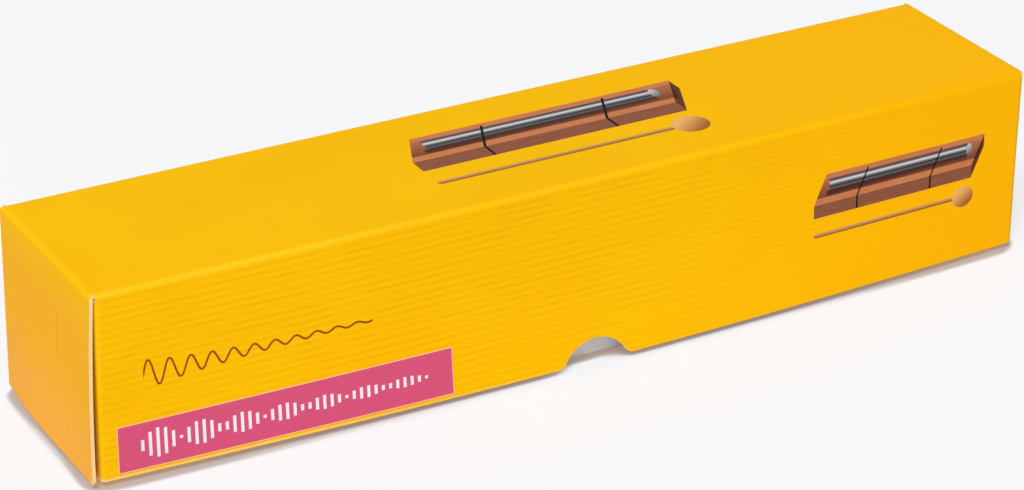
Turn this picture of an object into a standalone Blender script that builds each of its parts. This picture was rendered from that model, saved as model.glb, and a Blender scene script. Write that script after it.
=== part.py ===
"""A bar chime and its mallet, packed in a folded-board tray under a full-depth lid.

Metres, +Z up. The origin is at the middle of the tray's underside, +X along the length, and -Y is the front.
The contents set the size of the tray, and the tray sets the size of the lid.
"""
import math

import bmesh
import bpy
from mathutils import Matrix, Vector

MM = 0.001

# Clearances between pieces
GAP = 0.3 * MM                  # a piece and what it rests on
END_ROOM = 18.3 * MM            # packed pieces to the tray's ends
SIDE_ROOM = 12.2 * MM           # base to the tray's long walls, both sides together
TOP_ROOM = 3.6 * MM             # highest packed piece to the tray's brim
LID_PLAY = 0.6 * MM             # tray to the lid's walls, each side

# Wooden base
BASE_LENGTH = 222 * MM
BASE_WIDTH = 43 * MM
BASE_HEIGHT = 25.5 * MM
BASE_EDGE = 1.2 * MM            # rounding of its edges
SCOOP_WIDTH = 27 * MM
SCOOP_DEPTH = 7 * MM

# Sounding rod
ROD_DIAMETER = 16 * MM
ROD_LENGTH = 191 * MM
ROD_CHAMFER = 0.8 * MM
NODE_SHARE = 0.2242             # share of its length from each end that stays still as it rings

# Elastic cords, one closed loop each, that go twice round the base
CORD = 1.6 * MM
STRAND_GAP = 0.6 * MM           # between the two turns in a groove
FACE_GROOVE = 1.2 * MM          # depth of the groove in the front and back faces
UNDER_GROOVE = 2.2 * MM
TOP_GROOVE = 0.6 * MM
GROOVE_ROUND = 2 * MM

# Mallet
HEAD_DIAMETER = 30 * MM
HEAD_SPACE = 0.8 * MM           # head to the end of the base
STICK_DIAMETER = 7 * MM
STICK_LENGTH = 223 * MM
BORE_DEPTH = 18 * MM
STICK_END_ROUND = 2.2 * MM

# Folded board
BOARD = 1 * MM
FOLD_RADIUS = 0.8 * MM
TAB_LENGTH = 20 * MM
TAB_TAPER = 1.5 * MM
CORNER_RELIEF = 1.2 * MM        # the folds stop this far short of each corner

# Lid
RIM_HEIGHT = 2 * MM             # the lid's rim over the table
SIDE_BOW = 5 * MM               # the long walls' outward bow at the middle of the rim
SIDE_SPLAY = 0.5 * MM           # their outward lean at the rim's corners
FOLD_BOW = 1.2 * MM             # the bow of the front fold
END_BOW = 1.8 * MM
NOTCH_WIDTH = 21 * MM
NOTCH_HEIGHT = 7 * MM
NOTCH_SHOULDER = 2.5 * MM

# Paper label on the lid's front
LABEL_LENGTH = 99 * MM
LABEL_HEIGHT = 14 * MM
LABEL_INSET = 5.6 * MM          # from the lid's left end
LABEL_RAISE = 1.4 * MM          # over the rim
LABEL_THICKNESS = 0.2 * MM

# Where the chime's sections lie, measured from the middle of the base's underside
CORD_STANDOFF = GAP + CORD / 2
ROD_AXIS_HEIGHT = BASE_HEIGHT + ROD_DIAMETER / 2
CORD_ARC_RADIUS = ROD_DIAMETER / 2 + CORD_STANDOFF
CORD_SIDE = BASE_WIDTH / 2 - FACE_GROOVE + CORD_STANDOFF
CORD_LOW = UNDER_GROOVE - CORD_STANDOFF
CORD_HIGH = BASE_HEIGHT - TOP_GROOVE + CORD_STANDOFF
CORD_BEND = GROOVE_ROUND + CORD_STANDOFF
CORD_PLACE = ROD_LENGTH * (0.5 - NODE_SHARE)
STRAND_OFFSET = (CORD + STRAND_GAP) / 2
GROOVE_WIDTH = 2 * STRAND_OFFSET + CORD + 2 * GAP

# The strand over the rod rises from the base's edge at this slope
RISE_FROM = Vector((CORD_SIDE, CORD_HIGH))
TO_ROD_AXIS = Vector((0, ROD_AXIS_HEIGHT)) - RISE_FROM
STRAND_SLOPE = math.atan2(TO_ROD_AXIS.y, -TO_ROD_AXIS.x) + math.asin(CORD_ARC_RADIUS / TO_ROD_AXIS.length)

# Packing: the head lies past the base's left end and the stick on the cords in front of the rod
TRAY_INNER_WIDTH = BASE_WIDTH + SIDE_ROOM
CHIME_Y = TRAY_INNER_WIDTH / 2 - GAP - CORD_SIDE - CORD / 2
CHIME_Z = BOARD + GAP
HEAD_Y = -TRAY_INNER_WIDTH / 2 + GAP + HEAD_DIAMETER / 2
STICK_OUT = CHIME_Y - HEAD_Y
STICK_RISE = (STICK_DIAMETER / 2 + CORD_STANDOFF) / math.cos(STRAND_SLOPE)
STICK_HEIGHT = CORD_HIGH + (CORD_SIDE - STICK_OUT) * math.tan(STRAND_SLOPE) + STICK_RISE
HEAD_X = -max(BASE_LENGTH, ROD_LENGTH) / 2 - HEAD_SPACE - HEAD_DIAMETER / 2
STICK_START = HEAD_DIAMETER / 2 - BORE_DEPTH
PACKED_LEFT = HEAD_X - HEAD_DIAMETER / 2
PACKED_RIGHT = max(BASE_LENGTH / 2, ROD_LENGTH / 2, HEAD_X + STICK_START + STICK_LENGTH)
CHIME_X = -(PACKED_LEFT + PACKED_RIGHT) / 2
PACKED_TOP = CHIME_Z + max(ROD_AXIS_HEIGHT + CORD_ARC_RADIUS + CORD / 2, STICK_HEIGHT + HEAD_DIAMETER / 2)

# Tray and lid round the packed pieces: an end wall and the tab behind it make each end
END_BUILD = 2 * BOARD + GAP
TRAY_LENGTH = PACKED_RIGHT - PACKED_LEFT + 2 * END_ROOM + 2 * END_BUILD
TRAY_WIDTH = TRAY_INNER_WIDTH + 2 * BOARD
TRAY_HEIGHT = PACKED_TOP + TOP_ROOM
LID_LENGTH = TRAY_LENGTH + 2 * LID_PLAY + 2 * END_BUILD
LID_WIDTH = TRAY_WIDTH + 2 * LID_PLAY + 2 * BOARD
LID_HEIGHT = TRAY_HEIGHT + GAP + BOARD - RIM_HEIGHT

# Counts and angles
LENGTH_STEPS = 16               # of the board's panels
WIDTH_STEPS = 4
HEIGHT_STEPS = 4
SCOOP_SIDES = 64
ROD_SIDES = 40
HEAD_SIDES = 28
HEAD_RINGS = 18
STICK_SIDES = 24
CORD_RESOLUTION = 2
EDGE_SEGMENTS = 2
ARC_STEP = math.radians(15)
EDGE_ANGLE = math.radians(40)   # edges sharper than this are rounded, and shaded sharp


def start_scene():
    """Empty the scene and make one collection for the parts and one for the cutters."""
    for thing in list(bpy.data.objects):
        bpy.data.objects.remove(thing, do_unlink=True)
    made = []
    for name in ("energy_chime", "cutters"):
        collection = bpy.data.collections.new(name)
        bpy.context.scene.collection.children.link(collection)
        made.append(collection)
    return made


PARTS, CUTTERS = start_scene()


def finish(name, color, roughness, metallic=0.0):
    """A plain Principled material."""
    made = bpy.data.materials.new(name)
    made.use_nodes = True
    shader = made.node_tree.nodes["Principled BSDF"]
    shader.inputs["Base Color"].default_value = (*color, 1)
    shader.inputs["Roughness"].default_value = roughness
    shader.inputs["Metallic"].default_value = metallic
    return made


def place(name, data, parent=None, location=(0, 0, 0), material=None):
    """Put a mesh or curve in the scene as a part, under its parent empty."""
    piece = bpy.data.objects.new(name, data)
    PARTS.objects.link(piece)
    piece.parent = parent
    piece.location = location
    if material:
        data.materials.append(material)
    return piece


def carrier(name, location, parent=None):
    """An empty that carries the pieces of one moving body."""
    made = place(name, None, parent, location)
    made.empty_display_size = 10 * MM
    return made


def mesh_from(bm, name, smooth=True):
    """Turn a bmesh into a mesh, its round stretches shaded smooth."""
    mesh = bpy.data.meshes.new(name)
    bm.to_mesh(mesh)
    bm.free()
    if smooth:
        mesh.shade_smooth()
        mesh.set_sharp_from_angle(angle=EDGE_ANGLE)
    return mesh


def arc(centre, radius, start, end):
    """Points on an arc in the plane, from one angle to the other."""
    steps = max(2, math.ceil(abs(end - start) / ARC_STEP))
    angles = [start + (end - start) * step / steps for step in range(steps + 1)]
    return [Vector((centre[0] + radius * math.cos(a), centre[1] + radius * math.sin(a))) for a in angles]


def round_rectangle(low, high, radius):
    """A closed outline with round corners, anticlockwise."""
    corners = ((high.x, low.y, -90), (high.x, high.y, 0), (low.x, high.y, 90), (low.x, low.y, 180))
    points = []
    for x, y, turn in corners:
        centre = (x - math.copysign(radius, x), y - math.copysign(radius, y - (low.y + high.y) / 2))
        points += arc(centre, radius, math.radians(turn), math.radians(turn + 90))
    return points


def prism(name, outlines, thickness, matrix):
    """A closed mesh from flat outlines, extruded both ways from the plane that the matrix gives."""
    curve = bpy.data.curves.new(name, "CURVE")
    curve.dimensions = "2D"
    curve.fill_mode = "BOTH"
    curve.extrude = thickness / 2
    for outline in outlines:
        spline = curve.splines.new("POLY")
        spline.points.add(len(outline) - 1)
        for point, corner in zip(spline.points, outline):
            point.co = (corner.x, corner.y, 0, 1)
        spline.use_cyclic_u = True
    drawn = bpy.data.objects.new(name, curve)
    CUTTERS.objects.link(drawn)
    seen = drawn.evaluated_get(bpy.context.evaluated_depsgraph_get())
    bm = bmesh.new()
    bm.from_mesh(bpy.data.meshes.new_from_object(seen))
    bpy.data.objects.remove(drawn)
    bmesh.ops.remove_doubles(bm, verts=bm.verts, dist=0.001 * MM)
    bmesh.ops.transform(bm, matrix=matrix, verts=bm.verts)
    bmesh.ops.recalc_face_normals(bm, faces=bm.faces)
    return mesh_from(bm, name, smooth=False)


def cut(target, mesh):
    """Cut a mesh, given in the target's own frame, out of the target."""
    cutter = bpy.data.objects.new(mesh.name, mesh)
    CUTTERS.objects.link(cutter)
    cutter.parent = target
    cutter.hide_render = True
    cutter.display_type = "WIRE"
    boolean = target.modifiers.new(mesh.name, "BOOLEAN")
    boolean.operation = "DIFFERENCE"
    boolean.object = cutter


def bevel(target, width):
    """Round the sharp edges."""
    rounding = target.modifiers.new("edges", "BEVEL")
    rounding.width = width
    rounding.segments = EDGE_SEGMENTS
    rounding.limit_method = "ANGLE"
    rounding.angle_limit = EDGE_ANGLE


def cylinder_along_x(radius, length, sides):
    """A closed cylinder about the X axis, centred."""
    bm = bmesh.new()
    bmesh.ops.create_cone(bm, cap_ends=True, segments=sides, radius1=radius, radius2=radius, depth=length,
                          matrix=Matrix.Rotation(math.pi / 2, 4, "Y"))
    return bm


# Folded board

def folded_board(length, width, height):
    """The middle surface of a folded box: a panel at the top, four walls down to zero and four corner tabs.

    The long walls end short of the end walls, and each is folded there into a tab behind the end wall. A slit
    parts each long fold from the corner of the panel, as in a die-cut blank.
    """
    half_x = (length - BOARD) / 2
    half_y = (width - BOARD) / 2
    panel = height - BOARD / 2
    wall_end = half_x - BOARD - GAP
    fold_end = wall_end - CORNER_RELIEF
    slit_side = half_y - CORNER_RELIEF
    tab_top = panel - CORNER_RELIEF
    bm = bmesh.new()
    bmesh.ops.create_cube(bm, size=1)
    for vert in bm.verts:
        vert.co = (2 * half_x * vert.co.x, 2 * half_y * vert.co.y, panel * (vert.co.z + 0.5))
    bmesh.ops.delete(bm, geom=[f for f in bm.faces if f.normal.z < -0.5], context="FACES")

    stations = {"x": [wall_end * (2 * step / LENGTH_STEPS - 1) for step in range(LENGTH_STEPS + 1)],
                "y": [half_y * (2 * step / WIDTH_STEPS - 1) for step in range(1, WIDTH_STEPS)],
                "z": [tab_top * step / HEIGHT_STEPS for step in range(1, HEIGHT_STEPS + 1)]}
    stations["x"] += [-fold_end - GAP, -fold_end, fold_end, fold_end + GAP]
    stations["y"] += [-slit_side, slit_side]
    for axis, places in stations.items():
        for value in places:
            point = Vector((0, 0, 0))
            setattr(point, axis, value)
            normal = Vector((axis == "x", axis == "y", axis == "z"))
            everything = bm.verts[:] + bm.edges[:] + bm.faces[:]
            bmesh.ops.bisect_plane(bm, geom=everything, dist=0.01 * MM, plane_co=point, plane_no=normal)

    waste = []
    for face in bm.faces:
        x, y, z = (abs(value) for value in face.calc_center_median())
        if face.normal.z > 0.5:
            unwanted = fold_end < x < fold_end + GAP and y > slit_side
        else:
            unwanted = abs(face.normal.y) > 0.5 and (x > wall_end or x > fold_end and z > tab_top)
        if unwanted:
            waste.append(face)
    bmesh.ops.delete(bm, geom=waste, context="FACES")

    def at_side(vert):
        return abs(abs(vert.co.y) - half_y) < 0.02 * MM

    # The end walls and the panel's corners reach the faces of the long walls
    for vert in bm.verts:
        if at_side(vert) and all(abs(face.normal.y) < 0.5 for face in vert.link_faces):
            vert.co.y += math.copysign(BOARD / 2, vert.co.y)

    ends = [e for e in bm.edges if e.is_boundary
            and all(at_side(v) and abs(abs(v.co.x) - wall_end) < 0.02 * MM for v in e.verts)]
    tabs = bmesh.ops.extrude_edge_only(bm, edges=ends)["geom"]
    for vert in (v for v in tabs if isinstance(v, bmesh.types.BMVert)):
        vert.co.y -= math.copysign(TAB_LENGTH, vert.co.y)
        if vert.co.z < GAP:
            vert.co.z += TAB_TAPER
        elif vert.co.z > tab_top - GAP:
            vert.co.z -= TAB_TAPER
    bmesh.ops.recalc_face_normals(bm, faces=bm.faces)
    folds = [e for e in bm.edges if len(e.link_faces) == 2 and e.calc_face_angle() > EDGE_ANGLE]
    bmesh.ops.bevel(bm, geom=folds, offset=FOLD_RADIUS, offset_type="OFFSET", segments=EDGE_SEGMENTS,
                    profile=0.5, affect="EDGES")
    return bm


def lid_bulge(x, y, z):
    """How far the lid's board has sprung outwards at a place in the lid's frame."""
    depth = (1 - z / LID_HEIGHT) ** 2
    along = math.cos(math.pi * x / LID_LENGTH)
    across = math.cos(math.pi * y / LID_WIDTH)
    fold = FOLD_BOW if y < 0 else 0
    side = along * (fold + (SIDE_BOW - fold) * depth) + SIDE_SPLAY * depth
    end = END_BOW * across * depth
    return Vector((end * 2 * x / LID_LENGTH, side * 2 * y / LID_WIDTH, 0))


def board_piece(name, bm, parent, material):
    """Give a middle surface the board's thickness."""
    piece = place(name, mesh_from(bm, name), parent, material=material)
    board = piece.modifiers.new("board", "SOLIDIFY")
    board.thickness = BOARD
    board.offset = 0
    board.use_even_offset = True
    return piece


def notch_outline():
    """A round-topped notch with round shoulders, open below the rim."""
    radius = (NOTCH_WIDTH ** 2 / 4 + NOTCH_HEIGHT ** 2) / (2 * NOTCH_HEIGHT)
    centre_z = NOTCH_HEIGHT - radius
    drop = NOTCH_SHOULDER - centre_z
    shoulder_x = math.sqrt((radius + NOTCH_SHOULDER) ** 2 - drop ** 2)
    lean = math.atan2(drop, shoulder_x)
    right = arc((shoulder_x, NOTCH_SHOULDER), NOTCH_SHOULDER, -math.pi / 2, -math.pi + lean)
    top = arc((0, centre_z), radius, lean, math.pi - lean)
    left = [Vector((-point.x, point.y)) for point in reversed(right)]
    below = -NOTCH_HEIGHT
    return [Vector((shoulder_x, below)), *right, *top[1:-1], *left, Vector((-shoulder_x, below))]


def make_lid(parent, material):
    bm = folded_board(LID_LENGTH, LID_WIDTH, LID_HEIGHT)
    for vert in bm.verts:
        vert.co += lid_bulge(*vert.co)
    lid = board_piece("lid", bm, parent, material)
    upright = Matrix(((1, 0, 0, 0), (0, 0, -1, 0), (0, 1, 0, 0), (0, 0, 0, 1)))
    cut(lid, prism("thumb_notches", [notch_outline()], 2 * LID_WIDTH, upright))


def make_tray(material):
    bm = folded_board(TRAY_LENGTH, TRAY_WIDTH, TRAY_HEIGHT)
    upside_down = Matrix.Translation((0, 0, TRAY_HEIGHT)) @ Matrix.Rotation(math.pi, 4, "X")
    bmesh.ops.transform(bm, matrix=upside_down, verts=bm.verts)
    board_piece("tray", bm, None, material)


def make_label(parent, material):
    """A sheet laid on the lid's bowed front."""
    bm = bmesh.new()
    bmesh.ops.create_grid(bm, x_segments=LENGTH_STEPS // 2, y_segments=HEIGHT_STEPS, size=0.5)
    for vert in bm.verts:
        x = -LID_LENGTH / 2 + LABEL_INSET + LABEL_LENGTH * (vert.co.x + 0.5)
        z = LABEL_RAISE + LABEL_HEIGHT * (vert.co.y + 0.5)
        face = Vector((x, -LID_WIDTH / 2, z))
        vert.co = face + lid_bulge(*face) - Vector((0, GAP, 0))
    label = place("note_label", mesh_from(bm, "note_label"), parent, material=material)
    paper = label.modifiers.new("paper", "SOLIDIFY")
    paper.thickness = LABEL_THICKNESS
    paper.offset = 1


# Chime

def groove_cutter(name, x):
    """A frame round the base whose inside is the floor of the groove."""
    low = Vector((FACE_GROOVE - BASE_WIDTH / 2, UNDER_GROOVE))
    high = Vector((BASE_WIDTH / 2 - FACE_GROOVE, BASE_HEIGHT - TOP_GROOVE))
    floor = round_rectangle(low, high, GROOVE_ROUND)
    outside = [Vector((side * BASE_WIDTH, level)) for side, level in
               ((-1, -BASE_HEIGHT), (1, -BASE_HEIGHT), (1, 2 * BASE_HEIGHT), (-1, 2 * BASE_HEIGHT))]
    across = Matrix(((0, 0, 1, x), (1, 0, 0, 0), (0, 1, 0, 0), (0, 0, 0, 1)))
    return prism(name, [outside, floor], GROOVE_WIDTH, across)


def make_base(parent, material):
    bm = bmesh.new()
    bmesh.ops.create_cube(bm, size=1)
    bmesh.ops.scale(bm, vec=(BASE_LENGTH, BASE_WIDTH, BASE_HEIGHT), verts=bm.verts)
    bmesh.ops.translate(bm, vec=(0, 0, BASE_HEIGHT / 2), verts=bm.verts)
    base = place("base", mesh_from(bm, "base"), parent, material=material)
    radius = (SCOOP_WIDTH ** 2 / 4 + SCOOP_DEPTH ** 2) / (2 * SCOOP_DEPTH)
    scoop = cylinder_along_x(radius, 2 * BASE_LENGTH, SCOOP_SIDES)
    bmesh.ops.translate(scoop, vec=(0, 0, BASE_HEIGHT - SCOOP_DEPTH + radius), verts=scoop.verts)
    cut(base, mesh_from(scoop, "scoop", smooth=False))
    bevel(base, BASE_EDGE)
    for name, side in (("left_groove", -1), ("right_groove", 1)):
        cut(base, groove_cutter(name, side * CORD_PLACE))


def make_rod(parent, material):
    bm = cylinder_along_x(ROD_DIAMETER / 2, ROD_LENGTH, ROD_SIDES)
    rod = place("rod", mesh_from(bm, "rod"), parent, material=material)
    bevel(rod, ROD_CHAMFER)


def half_turn(crossing):
    """One turn's route from under the base, up the front, over or under the rod, and down the back.

    It is worked out for the back half, in the plane across the base, and mirrored for the front.
    """
    low_bend = arc((CORD_SIDE - CORD_BEND, CORD_LOW + CORD_BEND), CORD_BEND, -math.pi / 2, 0)
    if crossing == "over":
        climb = STRAND_SLOPE
        bend_drop = CORD_BEND * math.tan((math.pi / 2 - climb) / 2)
        high_bend = arc((CORD_SIDE - CORD_BEND, CORD_HIGH - bend_drop), CORD_BEND, 0, math.pi / 2 - climb)
        round_rod = arc((0, ROD_AXIS_HEIGHT), CORD_ARC_RADIUS, math.pi / 2 - climb, math.pi / 2)
    else:
        high_bend = arc((CORD_SIDE - CORD_BEND, CORD_HIGH - CORD_BEND), CORD_BEND, 0, math.pi / 2)
        high_bend.append(Vector((SCOOP_WIDTH / 2, CORD_HIGH)))
        to_axis = Vector((0, ROD_AXIS_HEIGHT)) - high_bend[-1]
        dip = math.asin(CORD_ARC_RADIUS / to_axis.length) - math.atan2(to_axis.y, -to_axis.x)
        round_rod = arc((0, ROD_AXIS_HEIGHT), CORD_ARC_RADIUS, -math.pi / 2 + dip, -math.pi / 2)
    return [Vector((0, CORD_LOW)), *low_bend, *high_bend, *round_rod]


def cord_route():
    """The closed route of one cord: over the rod, round under the base, under the rod, and round again.

    The turns lie side by side round the base and change sides as they cross at the rod.
    """
    route = []
    for crossing, front_side in (("over", 1), ("under", -1)):
        back = half_turn(crossing)
        front = [Vector((-point.x, point.y)) for point in back]
        turn = front + list(reversed(back))[1:-1]
        for point in turn:
            at_rod = point.y > CORD_LOW + CORD_BEND
            share = max(-1, min(1, point.x / (CORD_SIDE - CORD_BEND)))
            shift = math.sin(share * math.pi / 2) if at_rod else math.copysign(1, point.x)
            route.append(Vector((-front_side * STRAND_OFFSET * shift, point.x, point.y)))
    return route


def least_gap(route, diameter):
    """The least clear distance between stretches of a closed route that aren't neighbours."""
    count = len(route)
    lengths = [(route[i] - route[i - 1]).length for i in range(count)]
    total = sum(lengths)
    reached = [sum(lengths[1:i + 1]) for i in range(count)]
    least = total
    for i in range(count):
        for j in range(i):
            along = abs(reached[i] - reached[j])
            if min(along, total - along) > 4 * diameter:
                least = min(least, (route[i] - route[j]).length - diameter)
    return least


def make_cord(name, parent, x, material):
    route = cord_route()
    print(name, "least gap to itself", round(least_gap(route, CORD) / MM, 2), "mm")
    curve = bpy.data.curves.new(name, "CURVE")
    curve.dimensions = "3D"
    curve.bevel_depth = CORD / 2
    curve.bevel_resolution = CORD_RESOLUTION
    spline = curve.splines.new("POLY")
    spline.points.add(len(route) - 1)
    for point, spot in zip(spline.points, route):
        point.co = (*spot, 1)
    spline.use_cyclic_u = True
    place(name, curve, parent, (x, 0, 0), material)


# Mallet

def make_head(parent, material):
    bm = bmesh.new()
    bmesh.ops.create_uvsphere(bm, u_segments=HEAD_SIDES, v_segments=HEAD_RINGS, radius=HEAD_DIAMETER / 2,
                              matrix=Matrix.Rotation(math.pi / 2, 4, "Y"))
    head = place("mallet_head", mesh_from(bm, "mallet_head"), parent, material=material)
    depth = BORE_DEPTH + GAP
    bore = cylinder_along_x(STICK_DIAMETER / 2 + GAP, 2 * depth, STICK_SIDES)
    bmesh.ops.translate(bore, vec=(HEAD_DIAMETER / 2, 0, 0), verts=bore.verts)
    cut(head, mesh_from(bore, "stick_bore", smooth=False))


def make_stick(parent, material):
    """A dowel turned about X, with a round end to hold."""
    radius = STICK_DIAMETER / 2
    end = STICK_START + STICK_LENGTH
    tail = arc((end - STICK_END_ROUND, radius - STICK_END_ROUND), STICK_END_ROUND, 0, math.pi / 2)
    profile = [Vector((end, 0)), *tail, Vector((STICK_START, radius)), Vector((STICK_START, 0))]
    mesh = bpy.data.meshes.new("mallet_stick")
    mesh.from_pydata([(point.x, 0, point.y) for point in profile],
                     [(i, i + 1) for i in range(len(profile) - 1)], [])
    stick = place("mallet_stick", mesh, parent, material=material)
    turn = stick.modifiers.new("turn", "SCREW")
    turn.axis = "X"
    turn.steps = STICK_SIDES
    turn.render_steps = STICK_SIDES
    turn.use_merge_vertices = True
    turn.merge_threshold = 0.01 * MM
    turn.use_smooth_shade = True


def main():
    yellow = finish("yellow_print", (0.98, 0.50, 0.01), 0.45)
    white = finish("white_board", (0.80, 0.78, 0.76), 0.7)
    magenta = finish("magenta_paper", (0.65, 0.07, 0.20), 0.5)
    brown = finish("red_brown_wood", (0.36, 0.12, 0.05), 0.4)
    metal = finish("polished_aluminium", (0.82, 0.82, 0.83), 0.15, 1.0)
    black = finish("black_elastic", (0.02, 0.02, 0.02), 0.8)
    pale = finish("pale_wood", (0.72, 0.45, 0.20), 0.5)

    chime = carrier("chime_carrier", (CHIME_X, CHIME_Y, CHIME_Z))
    rod = carrier("rod_carrier", (0, 0, ROD_AXIS_HEIGHT), chime)
    mallet = carrier("mallet_carrier", (HEAD_X, -STICK_OUT, STICK_HEIGHT), chime)
    lid = carrier("lid_carrier", (0, 0, RIM_HEIGHT))

    make_tray(white)
    make_lid(lid, yellow)
    make_label(lid, magenta)
    make_base(chime, brown)
    make_rod(rod, metal)
    make_cord("left_cord", chime, -CORD_PLACE, black)
    make_cord("right_cord", chime, CORD_PLACE, black)
    make_head(mallet, pale)
    make_stick(mallet, pale)
    for name, size in (("lid", (LID_LENGTH, LID_WIDTH, LID_HEIGHT)),
                       ("tray", (TRAY_LENGTH, TRAY_WIDTH, TRAY_HEIGHT)),
                       ("chime at", (CHIME_X, CHIME_Y, CHIME_Z)),
                       ("head at", (CHIME_X + HEAD_X, HEAD_Y, CHIME_Z + STICK_HEIGHT))):
        print(name, [round(value / MM, 2) for value in size], "mm")


main()
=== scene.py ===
# %% [markdown]
# # A boxed bar chime
# The object is a long yellow carton with a lift-off lid. A bar chime and its mallet lie inside, in a white
# tray. The imported CAD model gives the joints and the main sizes. This lesson dresses it: each piece is made
# again with finer curves and gets a finish built from nodes, and all but the cords ride on the CAD body that
# moves them.

# %% Load the imported model
import math

import bmesh
import bpy
from mathutils import Matrix, Vector


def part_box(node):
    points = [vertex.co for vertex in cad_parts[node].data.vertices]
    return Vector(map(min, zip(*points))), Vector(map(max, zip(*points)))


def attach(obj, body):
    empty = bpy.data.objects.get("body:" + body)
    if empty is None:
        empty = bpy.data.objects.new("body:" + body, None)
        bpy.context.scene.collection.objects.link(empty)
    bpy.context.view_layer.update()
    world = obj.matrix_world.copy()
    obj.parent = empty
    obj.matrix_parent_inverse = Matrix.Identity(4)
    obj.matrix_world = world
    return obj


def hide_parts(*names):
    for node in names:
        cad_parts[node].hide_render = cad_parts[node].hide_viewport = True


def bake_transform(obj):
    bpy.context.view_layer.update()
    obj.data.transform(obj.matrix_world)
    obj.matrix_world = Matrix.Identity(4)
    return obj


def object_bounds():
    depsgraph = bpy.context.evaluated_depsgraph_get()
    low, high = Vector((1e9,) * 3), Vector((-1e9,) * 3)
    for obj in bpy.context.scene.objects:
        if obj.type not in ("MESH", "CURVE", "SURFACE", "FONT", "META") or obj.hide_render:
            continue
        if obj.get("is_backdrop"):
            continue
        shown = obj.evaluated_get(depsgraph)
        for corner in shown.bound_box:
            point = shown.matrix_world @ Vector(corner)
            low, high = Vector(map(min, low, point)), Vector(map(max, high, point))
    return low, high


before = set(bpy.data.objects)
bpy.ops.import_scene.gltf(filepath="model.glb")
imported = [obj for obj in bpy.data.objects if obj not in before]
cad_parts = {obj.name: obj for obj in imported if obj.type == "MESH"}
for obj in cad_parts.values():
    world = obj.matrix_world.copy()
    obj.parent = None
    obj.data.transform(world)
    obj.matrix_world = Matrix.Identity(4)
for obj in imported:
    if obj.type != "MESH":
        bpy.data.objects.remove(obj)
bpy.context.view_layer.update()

# %% [markdown]
# ## Sums with sockets
# A finish is mostly sums: a flute is a sine, a printed shape is a distance from its outline.
# Adding Math nodes one by one hides those sums, so one small class wraps a socket and lets it be
# added and multiplied as a number is. The same class serves shader trees and geometry trees,
# because both use the same Math node.

# %% A socket that takes part in sums
class Field:
    """One socket of a node tree. Sums with it add Math nodes to the tree."""

    def __init__(self, tree, socket=None):
        self.tree = tree
        self.socket = socket

    def node(self, kind, inputs=None, out=0, **settings):
        """Add any node: its settings first, then the values or links of its sockets."""
        made = self.tree.nodes.new(kind)
        for name, value in settings.items():
            if name == "stops":
                self.set_stops(made.color_ramp, value)
            else:
                setattr(made, name, value)
        for key, value in (inputs or {}).items():
            if isinstance(value, Field):
                self.tree.links.new(value.socket, made.inputs[key])
            else:
                made.inputs[key].default_value = value
        return Field(self.tree, made.outputs[out])

    @staticmethod
    def set_stops(ramp, stops):
        """Give a colour ramp its stops, each a position and a colour."""
        while len(ramp.elements) < len(stops):
            ramp.elements.new(0.5)
        for element, (position, color) in zip(ramp.elements, stops):
            element.position = position
            element.color = color

    def math(self, operation, *values):
        """Add a Math node."""
        return self.node("ShaderNodeMath", dict(enumerate(values)), operation=operation)

    def __add__(self, other):
        return self.math("ADD", self, other)

    def __sub__(self, other):
        return self.math("SUBTRACT", self, other)

    def __rsub__(self, other):
        return self.math("SUBTRACT", other, self)

    def __mul__(self, other):
        return self.math("MULTIPLY", self, other)

    def __truediv__(self, other):
        return self.math("DIVIDE", self, other)

    def __rtruediv__(self, other):
        return self.math("DIVIDE", other, self)

    def __pow__(self, other):
        return self.math("POWER", self, other)

    def __rpow__(self, other):
        return self.math("POWER", other, self)

    __radd__ = __add__
    __rmul__ = __mul__

    def step(self, low, high):
        """0 at low, 1 at high and smooth between. low may be the larger of the two."""
        return self.node("ShaderNodeMapRange", {"Value": self, "From Min": low, "From Max": high},
                         interpolation_type="SMOOTHSTEP")

    def mix(self, first, second):
        """A colour between two colours, by this value."""
        return self.node("ShaderNodeMix", {0: self, 6: first, 7: second}, out=2, data_type="RGBA")

    def parts(self):
        """The three numbers of a vector."""
        split = self.node("ShaderNodeSeparateXYZ", {0: self}).socket.node
        return [Field(self.tree, socket) for socket in split.outputs]

    def times(self, stretch):
        """A vector, stretched by three numbers."""
        return self.node("ShaderNodeVectorMath", {0: self, 1: stretch}, operation="MULTIPLY")

    def noise(self, stretch, detail=2.0):
        """A noise value whose lumps are 1 / stretch across, in the vector's unit."""
        sockets = {"Vector": self.times(stretch), "Scale": 1.0, "Detail": detail}
        return self.node("ShaderNodeTexNoise", sockets)

    def noise_along(self, scale, detail):
        """A noise value that changes along one number only."""
        sockets = {"W": self, "Scale": scale, "Detail": detail}
        return self.node("ShaderNodeTexNoise", sockets, noise_dimensions="1D")


print("sockets can be added and multiplied")


# %% Sums with names
def sine(value):
    return value.math("SINE", value)


def cosine(value):
    return value.math("COSINE", value)


def size_of(value):
    """A number without its sign."""
    return value.math("ABSOLUTE", value)


def larger(value, other):
    return value.math("MAXIMUM", value, other)


print("sums with names: sine, cosine, size_of and larger")

# %% [markdown]
# ## Colours and finishes
# Colours are written as they look on screen, from 0 to 255, and turned into the linear light that the
# renderer works in. Each finish starts from a Principled shader. Sockets that are the same all over take a
# plain number, and only those that change over the surface are linked.

# %% Helpers for finishes
MM = 0.001


def tint(red, green, blue):
    """A screen colour from 0 to 255 as linear light."""
    shares = [value / 255 for value in (red, green, blue)]
    linear = [v / 12.92 if v < 0.04045 else ((v + 0.055) / 1.055) ** 2.4 for v in shares]
    return (*linear, 1)


def new_finish(name):
    """A material, and the object's own coordinates in millimetres."""
    material = bpy.data.materials.new(name)
    material.use_nodes = True
    start = Field(material.node_tree)
    place = start.node("ShaderNodeTexCoord", out="Object").times((1000, 1000, 1000))
    return material, place


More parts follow.
